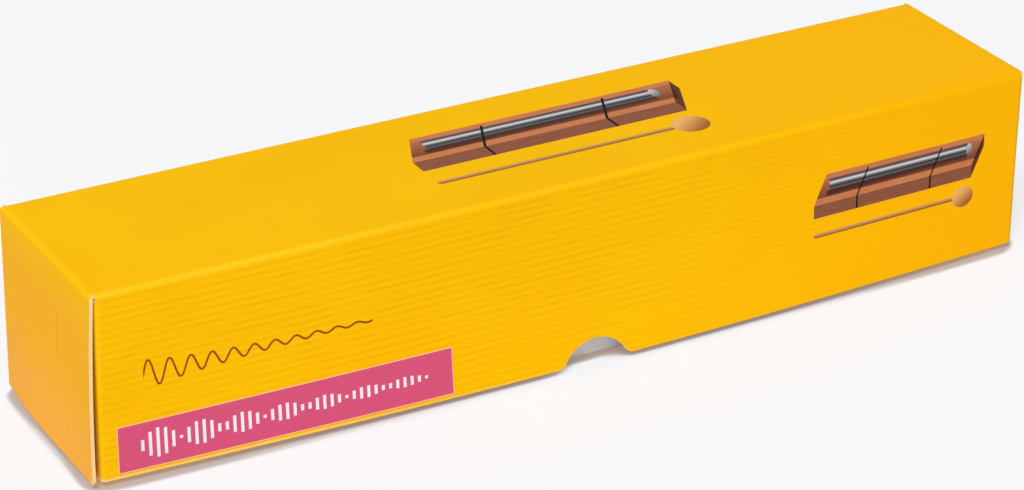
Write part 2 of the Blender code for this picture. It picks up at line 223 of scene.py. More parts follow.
def dress(material, **sockets):
    """Set or link the sockets of the material's shader. base_color stands for Base Color, and so on."""
    shader = material.node_tree.nodes["Principled BSDF"]
    for key, value in sockets.items():
        socket = shader.inputs[key.replace("_", " ").title().replace("Ior", "IOR")]
        if isinstance(value, Field):
            material.node_tree.links.new(value.socket, socket)
        else:
            socket.default_value = value
    return material


def bump(height):
    """A normal from a height in millimetres."""
    return height.node("ShaderNodeBump", {"Height": height, "Distance": MM}, out="Normal")


print("yellow as linear light:", [round(v, 3) for v in tint(252, 190, 6)[:3]])

# %% [markdown]
# ## Sizes
# These are the carton's main sizes in the CAD source, in metres. A script that is run alone can't read that
# source, so it repeats them. The lengths are printed beside the boxes of the CAD nodes. The lid's box is a
# little longer, because its ends bow.

# %% Sizes of the carton
BOARD = 1.0 * MM
GAP = 0.3 * MM
LID_LENGTH, LID_WIDTH = 299.8 * MM, 60.4 * MM
TRAY_LENGTH, TRAY_WIDTH = 294.0 * MM, 57.2 * MM
TRAY_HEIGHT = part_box("tray")[1].z
RIM = 2.0 * MM
LID_HEIGHT = TRAY_HEIGHT + GAP + BOARD - RIM


def in_mm(metres, digits=1):
    """Metres as millimetres, rounded for printing."""
    return round(metres / MM, digits)


for node, length in (("lid", LID_LENGTH), ("tray", TRAY_LENGTH)):
    low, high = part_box(node)
    print(node, "length", in_mm(length), "CAD box", [in_mm(v) for v in high - low])

# %% [markdown]
# ## The printed outside of the lid
# The board is micro-flute: a wavy sheet between two flat ones. The waves show through the print as faint
# ridges along the front, and upright on the ends. Modelling ridges this fine would take a huge mesh, so
# they are a sine across the flutes, turned into a bump, and broken up by noise because glue and pressure
# vary. The print is also a little darker in their valleys, partly thinner ink and partly painted shade.
# The paint is a warm yellow, more orange on the ends as painted shade, and paler towards their foot as a
# painted sheen. The folds are rubbed a little paler, most at the left, and the front rim is scuffed there:
# wear, and a painted highlight. Further right the folds are painted a little darker, as painted shade, and
# a crease in the left end is painted darker, as painted shade.
#
# The print is a picture of a bar chime and its mallet, once on the top and once, smaller, on the front. An
# image could be laid on, but it would blur close to. Instead every shape is a distance from an outline,
# which stays sharp. Both pictures are one drawing: the top and the front each give it their own
# coordinates. A struck note dying away stands as a brown line on the front.

# %% Shapes for the print
EDGE = 0.09


def inside(distance):
    """1 where a distance in millimetres is below zero, with a soft printed edge."""
    return distance.step(EDGE, -EDGE)


def slab(u, v, left, right, low, high):
    """How far a place lies outside a level rectangle."""
    across = size_of(u - (left + right) / 2) - (right - left) / 2
    up = size_of(v - (low + high) / 2) - (high - low) / 2
    return larger(across, up)


def rounded(u, v, left, right, middle, radius):
    """How far a place lies outside a bar with round ends."""
    across = larger(size_of(u - (left + right) / 2) - ((right - left) / 2 - radius), 0.0)
    up = v - middle
    return (across * across + up * up) ** 0.5 - radius


def oval(u, v, middle, level, wide, high):
    """About how far a place lies outside an oval."""
    across, up = (u - middle) / wide, (v - level) / high
    return ((across * across + up * up) ** 0.5 - 1) * high


print("shapes for the print: slab, rounded bar and oval, with edges", EDGE, "mm soft")

# %% The drawn block
REACH, SLANT = 43.0, 0.45
FACE_LOW, FACE_TOP, BLOCK_BACK = -3.2, 3.0, 17.0
FACE_HEIGHT, BLOCK_DEPTH = FACE_TOP - FACE_LOW, BLOCK_BACK - FACE_TOP
SCOOP_FRONT, SCOOP_BACK = 6.0, 14.6
DIP_MIDDLE, DIP_HALF, DIP_DEPTH = 0.52, 0.31, 3.4


def drawn_block(grain, u, v, paper):
    """A block seen from the front and above: its scooped top, its face and its right end."""
    lean = u - (v - FACE_TOP) * SLANT
    top = grain.mix(tint(180, 100, 60), tint(216, 144, 100))
    color = inside(slab(lean, v, -REACH, REACH, FACE_TOP, BLOCK_BACK)).mix(paper, top)
    hollow = inside(slab(lean, v, -REACH, REACH, SCOOP_FRONT, SCOOP_BACK))
    gloom = 0.3 + v.step(SCOOP_BACK, SCOOP_FRONT + 0.5) * 0.45
    color = (hollow * gloom).mix(color, tint(92, 48, 34))
    face = grain.mix(tint(120, 70, 50), tint(158, 100, 74))
    color = inside(slab(u, v, -REACH, REACH, FACE_LOW, FACE_TOP)).mix(color, face)
    back = (u - REACH) / (BLOCK_DEPTH * SLANT)
    up = v - FACE_LOW - back * BLOCK_DEPTH
    dip = larger(1 - ((back - DIP_MIDDLE) / DIP_HALF) ** 2.0, 0.0) * DIP_DEPTH
    end = larger(size_of(back - 0.5) * 6.0 - 3.0, larger(up * -1, up - FACE_HEIGHT))
    dipped = (up + dip).step(FACE_HEIGHT - 0.2, FACE_HEIGHT + 0.1)
    return inside(end).mix(color, dipped.mix(tint(98, 54, 38), tint(70, 36, 26)))


print("drawn block:", 2 * REACH, "mm long before scaling")

# %% The drawn bar and its cords
BAR_LEFT, BAR_RIGHT, BAR_LOW, BAR_TOP = -35.0, 41.0, 8.6, 14.2
BAR_SHINE = ((0.0, tint(36, 32, 34)), (0.2, tint(104, 100, 103)), (0.34, tint(42, 38, 41)),
             (0.5, tint(120, 118, 122)), (0.68, tint(226, 226, 229)), (0.8, tint(112, 109, 113)),
             (1.0, tint(52, 48, 51)))
TIP_HALF = (1.5, 2.8)
SHADOW_SOFT, SHADOW_TILT = 2.2, 0.012
CORD_REACH, CORD_HALF, CORD_OVER = 20.0, 0.42, 1.4


def drawn_bar(u, v, color):
    """The bright bar over its shadow in the scoop, and the two cords that hold it."""
    below = v - u * SHADOW_TILT
    faint = below.step(BAR_LOW, BAR_LOW - SHADOW_SOFT) * 0.2
    deep = below.step(SCOOP_FRONT, SCOOP_FRONT + SHADOW_SOFT) * 0.75
    shaded = slab(u, v, BAR_LEFT - 1.5, BAR_RIGHT - 1, SCOOP_FRONT + 0.2, BAR_LOW + 0.2)
    color = (inside(shaded) * (faint + deep)).mix(color, tint(48, 22, 18))
    shine = (v - BAR_LOW) / (BAR_TOP - BAR_LOW)
    metal = shine.node("ShaderNodeValToRGB", {"Fac": shine}, stops=BAR_SHINE)
    color = inside(slab(u, v, BAR_LEFT, BAR_RIGHT, BAR_LOW, BAR_TOP)).mix(color, metal)
    tip = (v - u * 0.4).step(-9, -1).mix(tint(96, 93, 96), tint(204, 204, 207))
    color = inside(oval(u, v, BAR_RIGHT, (BAR_LOW + BAR_TOP) / 2, *TIP_HALF)).mix(color, tip)
    lean = u - larger(v - FACE_TOP, 0.0) * SLANT
    cords = size_of(size_of(lean) - CORD_REACH) - CORD_HALF
    cords = larger(cords, slab(u, v, -REACH, REACH, FACE_LOW, BAR_TOP + CORD_OVER))
    return inside(cords).mix(color, tint(22, 18, 18))


print("drawn bar:", BAR_RIGHT - BAR_LEFT, "mm long, with", len(BAR_SHINE), "bands of shine")

# %% The drawn mallet
MALLET_LEVEL, STICK_HALF = -11.5, 1.05
HEAD_AT, HEAD_HALF = 39.0, (5.8, 5.2)


def drawn_mallet(u, v, color):
    """A stick with a round head at its right, lit from above and left."""
    up = v - MALLET_LEVEL
    stick = up.step(-STICK_HALF, STICK_HALF).mix(tint(150, 94, 42), tint(222, 164, 94))
    color = inside(rounded(u, v, -REACH, HEAD_AT - 1, MALLET_LEVEL, STICK_HALF)).mix(color, stick)
    light = (up * 0.7 - (u - HEAD_AT) * 0.5).step(-5.0, 4.0)
    head = light.mix(tint(166, 96, 38), tint(238, 180, 104))
    return inside(oval(u, v, HEAD_AT, MALLET_LEVEL, *HEAD_HALF)).mix(color, head)


print("drawn mallet:", HEAD_AT + REACH, "mm long before scaling")

# %% The struck note
WAVE_START, WAVE_LENGTH, WAVE_LEVEL = -136.0, 67.0, 31.0
WAVE_RISE, WAVE_PITCH, WAVE_FADE, WAVE_HALF = 4.2, 6.1, 0.036, 0.3


def dying_wave(x, z):
    """How far a place lies from a line that swings less and less."""
    along = x - WAVE_START
    swing = math.e ** (along * -WAVE_FADE) * WAVE_RISE
    turn = along * (math.tau / WAVE_PITCH)
    slope = swing * cosine(turn) * (math.tau / WAVE_PITCH)
    off = size_of(z - WAVE_LEVEL - swing * sine(turn)) / (slope * slope + 1.0) ** 0.5
    past_ends = size_of(along - WAVE_LENGTH / 2) - WAVE_LENGTH / 2
    return larger(off - WAVE_HALF, past_ends)


print("wave", WAVE_LENGTH, "mm long, a swing every", WAVE_PITCH, "mm")

# %% The flutes under the print
FLUTE_PITCH, FLUTE_WAVER, FLUTE_LEAST = 2.15, 1.2, 0.15


def flutes(place, across, strength):
    """The height of the flutes under a sheet, in millimetres, broken up as glue and pressure vary."""
    uneven = place.noise((0.11, 0.4, 0.4), 3.0).step(0.35, 0.65)
    waver = place.noise((0.02, 0.05, 0.05)) * FLUTE_WAVER
    shown = FLUTE_LEAST + uneven * (1 - FLUTE_LEAST)
    return cosine((across + waver) * (math.tau / FLUTE_PITCH)) * shown * strength


print("flutes every", FLUTE_PITCH, "mm")

# %% The paint and its wear
FRONT_AT, END_AT = -29.1, 148.7
PALE_RIM_LEVEL, LID_TOP = RIM / MM + 0.5, (RIM + LID_HEIGHT) / MM
END_EDGE, END_FADE = 16, (34, 4)
RIGHT_TONE, WORN_AND_LIT_FOLD, SHADED_FOLD, SCUFFED_AND_LIT_RIM = (0, 150), (100, -130), (60, 125), (10, -120)


def painted(place, on_front, on_end, mottle):
    """Yellow, more orange on the ends as painted shade and sheen, with rubbed folds and a scuffed front rim,
    each wear and a painted highlight.
    """
    x, _, z = place.parts()
    cloudy = place.noise((0.02, 0.02, 0.02), 2.0)
    yellow = cloudy.step(0.3, 0.7).mix(tint(249, 188, 3), tint(252, 193, 4))
    yellow = x.step(*RIGHT_TONE).mix(yellow, tint(255, 186, 2))
    # The ends are painted a paler orange, bluer towards their foot: painted shade and a painted whitish
    # sheen.
    end_shade_and_sheen = z.step(*END_FADE).mix(tint(251, 182, 32), tint(251, 180, 68))
    color = (on_end * z.step(LID_TOP, LID_TOP - END_EDGE)).mix(yellow, end_shade_and_sheen)
    fold = place.node("ShaderNodeAttribute", out="Fac", attribute_name="fold")
    near_end = size_of(x).step(END_AT - 2.2, END_AT - 0.2)
    wear_and_shine = 0.1 + cloudy.step(0.35, 0.65) * 0.25 + mottle * 0.35
    # The folds are rubbed paler, most at the left: wear, and a painted highlight.
    rubbed = fold * wear_and_shine * (1 - near_end * 0.75) * (0.1 + x.step(*WORN_AND_LIT_FOLD) * 0.8)
    color = rubbed.mix(color, tint(255, 208, 60))
    # Towards the right the folds are painted darker: painted shade.
    color = (fold * x.step(*SHADED_FOLD)).mix(color, tint(249, 178, 2))
    # The front rim at the left is painted pale: wear, and a painted highlight where the rim catches light.
    scuffed = on_front * z.step(PALE_RIM_LEVEL + 0.4, PALE_RIM_LEVEL) * x.step(*SCUFFED_AND_LIT_RIM) * (0.3 + mottle * 0.8)
    return scuffed.mix(color, tint(255, 208, 128))


print("ends start", END_AT, "mm from the middle, and the top lies", round(LID_TOP, 1), "mm up")

# %% The pictures
TOP_PICTURE, FRONT_PICTURE, FRONT_SCALE = (4.0, -2.0), (103.0, 29.5), 0.66


def pictured(place, on_front, color):
    """The chime on the top and, smaller, on the front, and the struck note on the front."""
    x, y, z = place.parts()
    on_top = 1 - on_front
    u = on_front * ((x - FRONT_PICTURE[0]) / FRONT_SCALE) + on_top * (x - TOP_PICTURE[0])
    v = on_front * ((z - FRONT_PICTURE[1]) / FRONT_SCALE) + on_top * (y - TOP_PICTURE[1])
    grain = place.noise((0.12, 2.4, 2.4), 3.0)
    color = drawn_mallet(u, v, drawn_bar(u, v, drawn_block(grain, u, v, color)))
    return (inside(dying_wave(x, z)) * on_front).mix(color, tint(146, 78, 12))


print("picture on the front:", round(2 * REACH * FRONT_SCALE, 1), "mm long")

# %% Ridges and a crease
FRONT_RIDGE, END_RIDGE, TOP_RIDGE = 0.07, 0.02, 0.003
PRESSED_RIGHT = (105, -15)
CREASE_Y, CREASE_Z, CREASE_LEAN = -7.2, 36.0, 0.06


def ridges(place, on_end):
    """Flutes along the walls, pressed flatter at the right, and upright on the ends."""
    x, y, z = place.parts()
    wall = size_of(y).step(29.5, 30.1) * size_of(x).step(END_AT - 0.1, END_AT - 1.1)
    pressed = 0.25 + x.step(*PRESSED_RIGHT) * 0.75
    end_wall = on_end * size_of(y).step(30.2, 29.0)
    along = flutes(place, z, wall * pressed * FRONT_RIDGE)
    return along + flutes(place, y, end_wall * END_RIDGE + TOP_RIDGE)


def creased(place):
    """1 along a short crease in the left end, which stands nearly upright."""
    x, y, z = place.parts()
    off = size_of(y - CREASE_Y + (z - CREASE_Z) * CREASE_LEAN)
    crease = off.step(1.3, 0.2) * size_of(z - CREASE_Z).step(9, 4)
    return crease * x.step(-END_AT, -END_AT - 0.4)


print("ridges", FRONT_RIDGE, "mm high on the front and", END_RIDGE, "mm on the ends")


# %% The printed finish
def printed_board():
    """Paint, pictures, ridges and a crease on the outside of the lid, with painted shade, partly thinner ink,
    in the flute valleys, and painted shade along the crease.
    """
    material, place = new_finish("printed_board")
    x, y, _ = place.parts()
    on_front = y.math("LESS_THAN", y, FRONT_AT)
    on_end = size_of(x).step(END_AT, END_AT + 0.4)
    mottle = place.noise((0.25, 0.25, 0.25), 4.0)
    color = pictured(place, on_front, painted(place, on_front, on_end, mottle))
    ridge = ridges(place, on_end)
    # The print is darker in the flute valleys: partly thinner ink, partly painted shade.
    color = (ridge * 2.2 + 0.5).mix(color.times((0.94, 0.92, 0.9)), color)
    crease = creased(place)
    # Along the crease the print is painted darker: painted shade.
    color = (crease * 0.3).mix(color, tint(222, 146, 30))
    height = ridge + mottle * 0.004 - crease * 0.1
    return dress(material, base_color=color, roughness=0.46 + mottle * 0.16, specular_ior_level=0.02,
                 normal=bump(height))


PRINTED = printed_board()
print("printed board:", len(PRINTED.node_tree.nodes), "nodes")

# %% [markdown]
# ## Raw board
# Inside, the board is bare: off-white, with short fibres and the flutes just showing. Its cut edges are
# cream, and on the ends of the carton, where the flutes are cut across, the wavy sheet shows between the
# two flat ones. It is too small to model, so it is drawn as a sine across the edge, and the hollows
# between the sheets are painted dark, as painted shade. The edge faces know how deep they lie in the
# board from an attribute that is 0 on the outside and 1 on the inside.

# %% Bare board
WALL_FACE, WALL_LENGTH = (27.7, 28.1), (147.0, 146.0)


def bare_board(name, pale, dark, ridge):
    """Unprinted board with fibres, dark specks and faint flutes."""
    material, place = new_finish(name)
    x, y, z = place.parts()
    wall = size_of(y).step(*WALL_FACE) * size_of(x).step(*WALL_LENGTH)
    fibres = place.noise((0.8, 3.0, 3.0), 5.0)
    specks = place.noise((2.2, 2.2, 2.2), 2.0).step(0.68, 0.76)
    color = fibres.step(0.3, 0.75).mix(dark, pale)
    color = (specks * 0.35).mix(color, tint(150, 136, 118))
    height = flutes(place, z, wall * ridge) + flutes(place, y, (1 - wall) * ridge * 0.5) + fibres * 0.012
    return dress(material, base_color=color, roughness=0.78 + fibres * 0.12, specular_ior_level=0.2,
                 normal=bump(height))


LID_INSIDE = bare_board("lid_inside", tint(236, 231, 222), tint(218, 211, 200), 0.02)
TRAY_BOARD = bare_board("tray_board", tint(246, 244, 242), tint(237, 234, 231), 0.012)
print("bare board:", LID_INSIDE.name, "and", TRAY_BOARD.name)

# %% Cut edges
CUT_END, RIM_BAND = (146.0, 146.2), (0.8, 0.6)


def cut_edge(name, light, pale, dark, rim):
    """Board where it is cut. Across the flutes, at the ends' rims, the wavy sheet shows, and the hollows
    between the sheets are painted dark as painted shade.
    """
    material, place = new_finish(name)
    x, y, z = place.parts()
    depth = place.node("ShaderNodeAttribute", out="Fac", attribute_name="depth")
    across = size_of(x).step(*CUT_END) * size_of(z - rim).step(*RIM_BAND)
    wave = sine(y * (math.tau / FLUTE_PITCH)) * 0.28 + 0.5
    flat_sheets = size_of(depth - 0.5).step(0.3, 0.36)
    sheets = larger(flat_sheets, size_of(depth - wave).step(0.16, 0.1))
    frayed = place.noise((1.5, 1.5, 1.5), 3.0)
    solid = across * sheets + (1 - across) * (0.86 + frayed.step(0.3, 0.6) * 0.14)
    # Where solid is low, in the hollows between the sheets, the edge takes the dark colour: painted shade.
    # Elsewhere it only mottles the cream a little.
    color = solid.mix(dark, frayed.mix(pale, light))
    return dress(material, base_color=color, roughness=0.9, specular_ior_level=0.1,
                 normal=bump(solid * 0.06 + frayed * 0.015))


LID_EDGE = cut_edge("lid_edge", tint(255, 218, 164), tint(250, 202, 136), tint(204, 140, 70), RIM / MM)
TRAY_EDGE = cut_edge("tray_edge", tint(250, 246, 240), tint(240, 236, 228), tint(178, 168, 156),
                     TRAY_HEIGHT / MM)
print("cut edges:", LID_EDGE.name, "and", TRAY_EDGE.name)

# %% [markdown]
# ## From a mesh to a piece
# Every piece ends the same way: a mesh becomes an object at the origin and hides the CAD node that it
# stands for, and all but the cords ride on the body that moves them. Where modifiers or node trees
# shape it on the way, their result is kept as a plain mesh, because that is what renders and exports the
# same everywhere. Only the label keeps a live modifier, for the thickness of its paper.

# %% Objects and meshes
def to_mesh(bm, name):
    """Turn a mesh in the making into a finished one."""
    mesh = bpy.data.meshes.new(name)
    bm.to_mesh(mesh)
    bm.free()
    return mesh


def on_stage(name, data):
    """An object in the scene that carries a mesh, a curve, a lamp or a camera."""
    made = bpy.data.objects.new(name, data)
    bpy.context.scene.collection.objects.link(made)
    return made


def shaped(carrier):
    """The plain mesh that an object's modifiers make."""
    return bpy.data.meshes.new_from_object(carrier.evaluated_get(bpy.context.evaluated_depsgraph_get()))


def evaluated(carrier):
    """The plain mesh that an object's modifiers make. The object itself goes."""
    made = shaped(carrier)
    bpy.data.objects.remove(carrier)
    return made


def shade(mesh, angle=40):
    """Smooth shading, apart from edges sharper than an angle."""
    mesh.shade_smooth()
    mesh.set_sharp_from_angle(angle=math.radians(angle))
    return mesh


def show(name, mesh, body, node):
    """Put a finished mesh in the scene in place of its CAD node, riding on its body."""
    piece = on_stage(name, mesh)
    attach(piece, body)
    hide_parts(node)
    return piece


# %% [markdown]
# ## Folding the board
# A carton is cut flat and folded, so each half is modelled as the middle surface of one sheet: a panel,
# four walls and four corner tabs tucked behind the end walls. The sheets are grids of faces, finer near the
# folds and the notch. Welding them and rounding the sharp edges gives the folds, and Solidify gives the
# board its thickness, with one material outside, one inside and one on the cut edges.

# %% Grids of faces
def spread(low, high, step, extra=()):
    """Stations from low to high, about a step apart, with some more where the sheet needs them."""
    count = max(1, round((high - low) / step))
    even = [low + (high - low) * i / count for i in range(count + 1)]
    kept = [value for value in even if all(abs(value - other) > 0.2 * step for other in extra)]
    return sorted({round(value, 7) for value in kept + list(extra) + [low, high]})


def add_sheet(bm, columns, rows, place, keep=None):
    """Faces between two lists of stations, put in space by a rule, where another rule keeps them."""
    corners = [[bm.verts.new(place(u, v)) for v in rows] for u in columns]
    for i in range(len(columns) - 1):
        for j in range(len(rows) - 1):
            middle = ((columns[i] + columns[i + 1]) / 2, (rows[j] + rows[j + 1]) / 2)
            if keep is None or keep(*middle):
                bm.faces.new((corners[i][j], corners[i + 1][j], corners[i + 1][j + 1], corners[i][j + 1]))


def mirrored(*values):
    """Each value on both sides of zero."""
    return [side * value for value in values for side in (-1, 1)]


print("grids of faces take stations and a rule")

# %% The thumb notch
NOTCH_WIDTH, NOTCH_HEIGHT, NOTCH_SHOULDER = 21 * MM, 7 * MM, 2.5 * MM


def notch_rise(x):
    """How high the thumb notch rises over the rim: a round top with round shoulders."""
    radius = (NOTCH_WIDTH ** 2 / 4 + NOTCH_HEIGHT ** 2) / (2 * NOTCH_HEIGHT)
    drop = radius - NOTCH_HEIGHT + NOTCH_SHOULDER
    shoulder = math.sqrt((radius + NOTCH_SHOULDER) ** 2 - drop ** 2)
    turn = shoulder * radius / (radius + NOTCH_SHOULDER)
    x = abs(x)
    if x < turn:
        return math.sqrt(radius ** 2 - x ** 2) + NOTCH_HEIGHT - radius
    if x < shoulder:
        return NOTCH_SHOULDER - math.sqrt(NOTCH_SHOULDER ** 2 - (shoulder - x) ** 2)
    return 0


print("notch", in_mm(notch_rise(0), 2), "mm high at the middle")

# %% Measures of a folded half
TAB_LENGTH, TAB_TAPER, TAB_RELIEF = 20 * MM, 1.5 * MM, 0.95 * MM


class CartonHalf:
    """One half of the carton, measured to the middle of its board, with the panel on top."""

    def __init__(self, length, width, height, notched):
        self.half_x, self.half_y = (length - BOARD) / 2, (width - BOARD) / 2
        self.panel = height - BOARD / 2
        self.wall_end = self.half_x - BOARD - GAP
        self.tab_top = self.panel - TAB_RELIEF
        self.notched = notched


LID_HALF = CartonHalf(LID_LENGTH, LID_WIDTH, LID_HEIGHT, True)
TRAY_HALF = CartonHalf(TRAY_LENGTH, TRAY_WIDTH, TRAY_HEIGHT, False)
print("lid's panel at", in_mm(LID_HALF.panel), "mm, tray's at", in_mm(TRAY_HALF.panel), "mm")

# %% Panel, walls and tabs
NICK, SLIT = 1.0 * MM, 0.1 * MM
NEAR_FOLD = 2.2 * MM
CORNER_WEAR, SET_BACK = 0.45 * MM, 2.2 * MM


def end_edge(half, x, y, z):
    """Raw edges at the ends lie level with the long walls, rubbed at the corners. One lies further back."""
    rubbed = CORNER_WEAR * max(0, 1 - (half.panel - z) / TAB_RELIEF)
    if abs(x) > half.wall_end + SLIT / 2:
        outside = half.half_y + BOARD / 2
        far = outside - rubbed if abs(y) > half.half_y - SLIT else abs(y)
        limit = outside - SET_BACK if half.notched and x > 0 > y else far
        y = math.copysign(min(far, limit), y)
    return (x, y, z)


def cut_sheets(half):
    """The panel, the walls and the tabs as grids of faces, slit where the board is cut."""
    half_x, half_y, panel = half.half_x, half.half_y, half.panel
    wall_end, tab_top = half.wall_end, half.tab_top
    fine = [i * 0.5 * MM for i in range(-28, 29)] if half.notched else []
    along = spread(-wall_end, wall_end, 4 * MM, fine + mirrored(wall_end - NICK, wall_end - NEAR_FOLD))
    over = sorted(set(along) | set(mirrored(wall_end + SLIT, half_x)))
    breadth = spread(-half_y, half_y, 4 * MM, mirrored(half_y - NICK, half_y - NEAR_FOLD))
    rise = spread(0, panel, 3 * MM, [tab_top, tab_top + SLIT, panel - NEAR_FOLD])
    tab_rise = [z for z in rise if z < tab_top + SLIT / 2]
    bm = bmesh.new()
    add_sheet(bm, over, breadth, lambda x, y: end_edge(half, x, y, panel),
              lambda x, y: not (0 < abs(x) - wall_end < SLIT and abs(y) > half_y - NICK))
    for side in (-1, 1):
        add_sheet(bm, along, rise, lambda x, z: (x, side * half_y, z),
                  lambda x, z: not (abs(x) > wall_end - NICK and 0 < z - tab_top < SLIT))
        add_sheet(bm, breadth, rise, lambda y, z: end_edge(half, side * half_x, y, z))
        for end in (-1, 1):
            add_sheet(bm, spread(0, TAB_LENGTH, 5 * MM, [NEAR_FOLD]), tab_rise,
                      lambda u, z: (end * wall_end, side * (half_y - u),
                                    z + TAB_TAPER * u / TAB_LENGTH * (1 - 2 * z / tab_top)))
    return bm


print("sheets are cut with slits of", in_mm(SLIT), "mm")

# %% Round folds
FOLD_RADIUS, FOLD_STEPS, FOLD_ANGLE = 0.8 * MM, 5, math.radians(60)
RUB_AND_SHINE_WIDTH = 0.6 * MM


def round_folds(bm):
    """Weld the sheets, turn their faces outwards and round the folds."""
    bmesh.ops.delete(bm, geom=[v for v in bm.verts if not v.link_faces], context="VERTS")
    bmesh.ops.remove_doubles(bm, verts=bm.verts, dist=0.01 * MM)
    bmesh.ops.recalc_face_normals(bm, faces=bm.faces)
    if max(bm.faces, key=lambda f: f.calc_center_median().z).normal.z < 0:
        bmesh.ops.reverse_faces(bm, faces=bm.faces)
    folds = [e for e in bm.edges if len(e.link_faces) == 2 and e.calc_face_angle() > FOLD_ANGLE]
    bmesh.ops.bevel(bm, geom=folds, offset=FOLD_RADIUS, offset_type="OFFSET", segments=FOLD_STEPS,
                    profile=0.5, affect="EDGES")


def mark_folds(bm, half):
    """Keep on each point how close it lies to a fold, for the rubbed print, its painted highlight and its
    painted shade.
    """
    layer = bm.verts.layers.float.new("fold")
    for vert in bm.verts:
        out_x, out_y = abs(vert.co.x) - half.half_x, abs(vert.co.y) - half.half_y
        under = vert.co.z - half.panel
        corner = math.hypot(abs(vert.co.x) - half.wall_end, out_y)
        far = min(math.hypot(out_y, under), math.hypot(out_x, under), corner)
        vert[layer] = math.exp(-(far / RUB_AND_SHINE_WIDTH) ** 2)


print("folds are rounded to", in_mm(FOLD_RADIUS), "mm and rubbed over", in_mm(RUB_AND_SHINE_WIDTH), "mm")

# %% The folded sheet
LEAN, LEAN_LENGTH, TAB_SHARE = 0.6 * MM, 12 * MM, 0.35
NOTCH_CLEAR = 20 * MM


def bend_rims(bm, half):
    """Lean the left front corner out at its rim, and draw the rims up into the notches."""
    for vert in bm.verts:
        x, y, z = abs(vert.co.x), abs(vert.co.y), vert.co.z
        on_wall = x < half.wall_end + SLIT / 2 and z < half.panel - SLIT
        if vert.co.x < 0 > vert.co.y and on_wall:
            behind = max(TAB_SHARE, 1 - (half.half_y - y) / NICK)
            share = max(0, 1 - (half.wall_end - x) / LEAN_LENGTH) * behind
            vert.co.x -= LEAN * share * (1 - z / half.panel)
        if y > half.half_y - GAP and z < NOTCH_CLEAR:
            vert.co.z += notch_rise(vert.co.x) * (1 - z / NOTCH_CLEAR)


def folded_sheet(half):
    """The middle surface of a folded half, with its rim at zero."""
    bm = cut_sheets(half)
    round_folds(bm)
    mark_folds(bm, half)
    if half.notched:
        bend_rims(bm, half)
    return bm


print("the left front corner leans out by", in_mm(LEAN), "mm")

# %% [markdown]
# ## The bow of the lid
# Board that has been folded springs back. The long walls bow out most at the middle of the rim and hardly
# at all at the folds, so the shape follows a rule, and a rule suits Geometry Nodes: one Set Position node
# moves each point by a sum of its own coordinates. The sizes are named inputs, so the lid can be made
# flatter without touching the rule.

# %% Trees for geometry
def geometry_tree(name, sizes):
    """A new tree with a geometry input and named sizes. Gives the tree, and its inputs as fields."""
    tree = bpy.data.node_groups.new(name, "GeometryNodeTree")
    tree.interface.new_socket("Geometry", in_out="INPUT", socket_type="NodeSocketGeometry")
    tree.interface.new_socket("Geometry", in_out="OUTPUT", socket_type="NodeSocketGeometry")
    for size in sizes:
        tree.interface.new_socket(size, in_out="INPUT", socket_type="NodeSocketFloat")
    entry = tree.nodes.new("NodeGroupInput")
    fields = {socket.name: Field(tree, socket) for socket in entry.outputs if socket.name}
    return tree, fields


def close_tree(tree, geometry, material):
    """End a tree in Realize Instances and Set Material."""
    real = geometry.node("GeometryNodeRealizeInstances", {0: geometry})
    dressed = real.node("GeometryNodeSetMaterial", {0: real, "Material": material})
    tree.links.new(dressed.socket, tree.nodes.new("NodeGroupOutput").inputs[0])


def run_tree(name, mesh, tree, sizes):
    """Run a tree on a mesh and give back the plain mesh that it makes."""
    carrier = on_stage(name, mesh)
    modifier = carrier.modifiers.new(tree.name, "NODES")
    modifier.node_group = tree
    for socket in tree.interface.items_tree:
        if socket.in_out == "INPUT" and socket.name in sizes:
            modifier[socket.identifier] = sizes[socket.name]
    return evaluated(carrier)


print("a tree takes a mesh and named sizes")

# %% The bowed walls
SIDE_BOW, SIDE_SPLAY, FOLD_BOW, END_BOW = 5 * MM, 0.5 * MM, 1.2 * MM, 1.8 * MM
CORNER_FLARE = 1.75 * MM
# The trim keeps this finer curve inside the box of the CAD lid.
TRIM = 0.03 * MM
BOW_SIZES = {"Length": LID_LENGTH, "Width": LID_WIDTH, "Height": LID_HEIGHT, "Side bow": SIDE_BOW - TRIM,
             "Side splay": SIDE_SPLAY, "Fold bow": FOLD_BOW, "End bow": END_BOW, "Corner flare": CORNER_FLARE}


def bow_tree():
    """A tree that bows the walls of a folded sheet and flares its left front corner."""
    tree, given = geometry_tree("bowed_walls", BOW_SIZES)
    x, y, z = given["Geometry"].node("GeometryNodeInputPosition").parts()
    depth = (1 - z / given["Height"]) ** 2
    along = cosine(x * math.pi / given["Length"])
    across = cosine(y * math.pi / given["Width"])
    fold = given["Fold bow"] * y.math("LESS_THAN", y, 0.0)
    side = along * (fold + (given["Side bow"] - fold) * depth) + given["Side splay"] * depth
    left_end = x.math("LESS_THAN", x, BOARD + GAP / 2 - given["Length"] / 2)
    sprung = left_end * larger(y * -2 / given["Width"], 0.0) ** 2
    flare = given["Corner flare"] * (1 - (z / given["Height"]) ** 2) * sprung
    end = given["End bow"] * across * depth + flare
    outward = {"X": end * x * 2 / given["Length"], "Y": side * y * 2 / given["Width"]}
    move = x.node("ShaderNodeCombineXYZ", outward)
    moved = move.node("GeometryNodeSetPosition", {"Geometry": given["Geometry"], "Offset": move})
    close_tree(tree, moved, PRINTED)
    return tree


print("bowed walls take", len(BOW_SIZES), "sizes")

# %% [markdown]
# ## Board from a sheet
# Solidify turns the middle surface into board. It could be left as a live modifier, but each point
# is also told whether it lies on the outside or the inside, so that the cut edges can show the
# wavy sheet, and so it is applied.

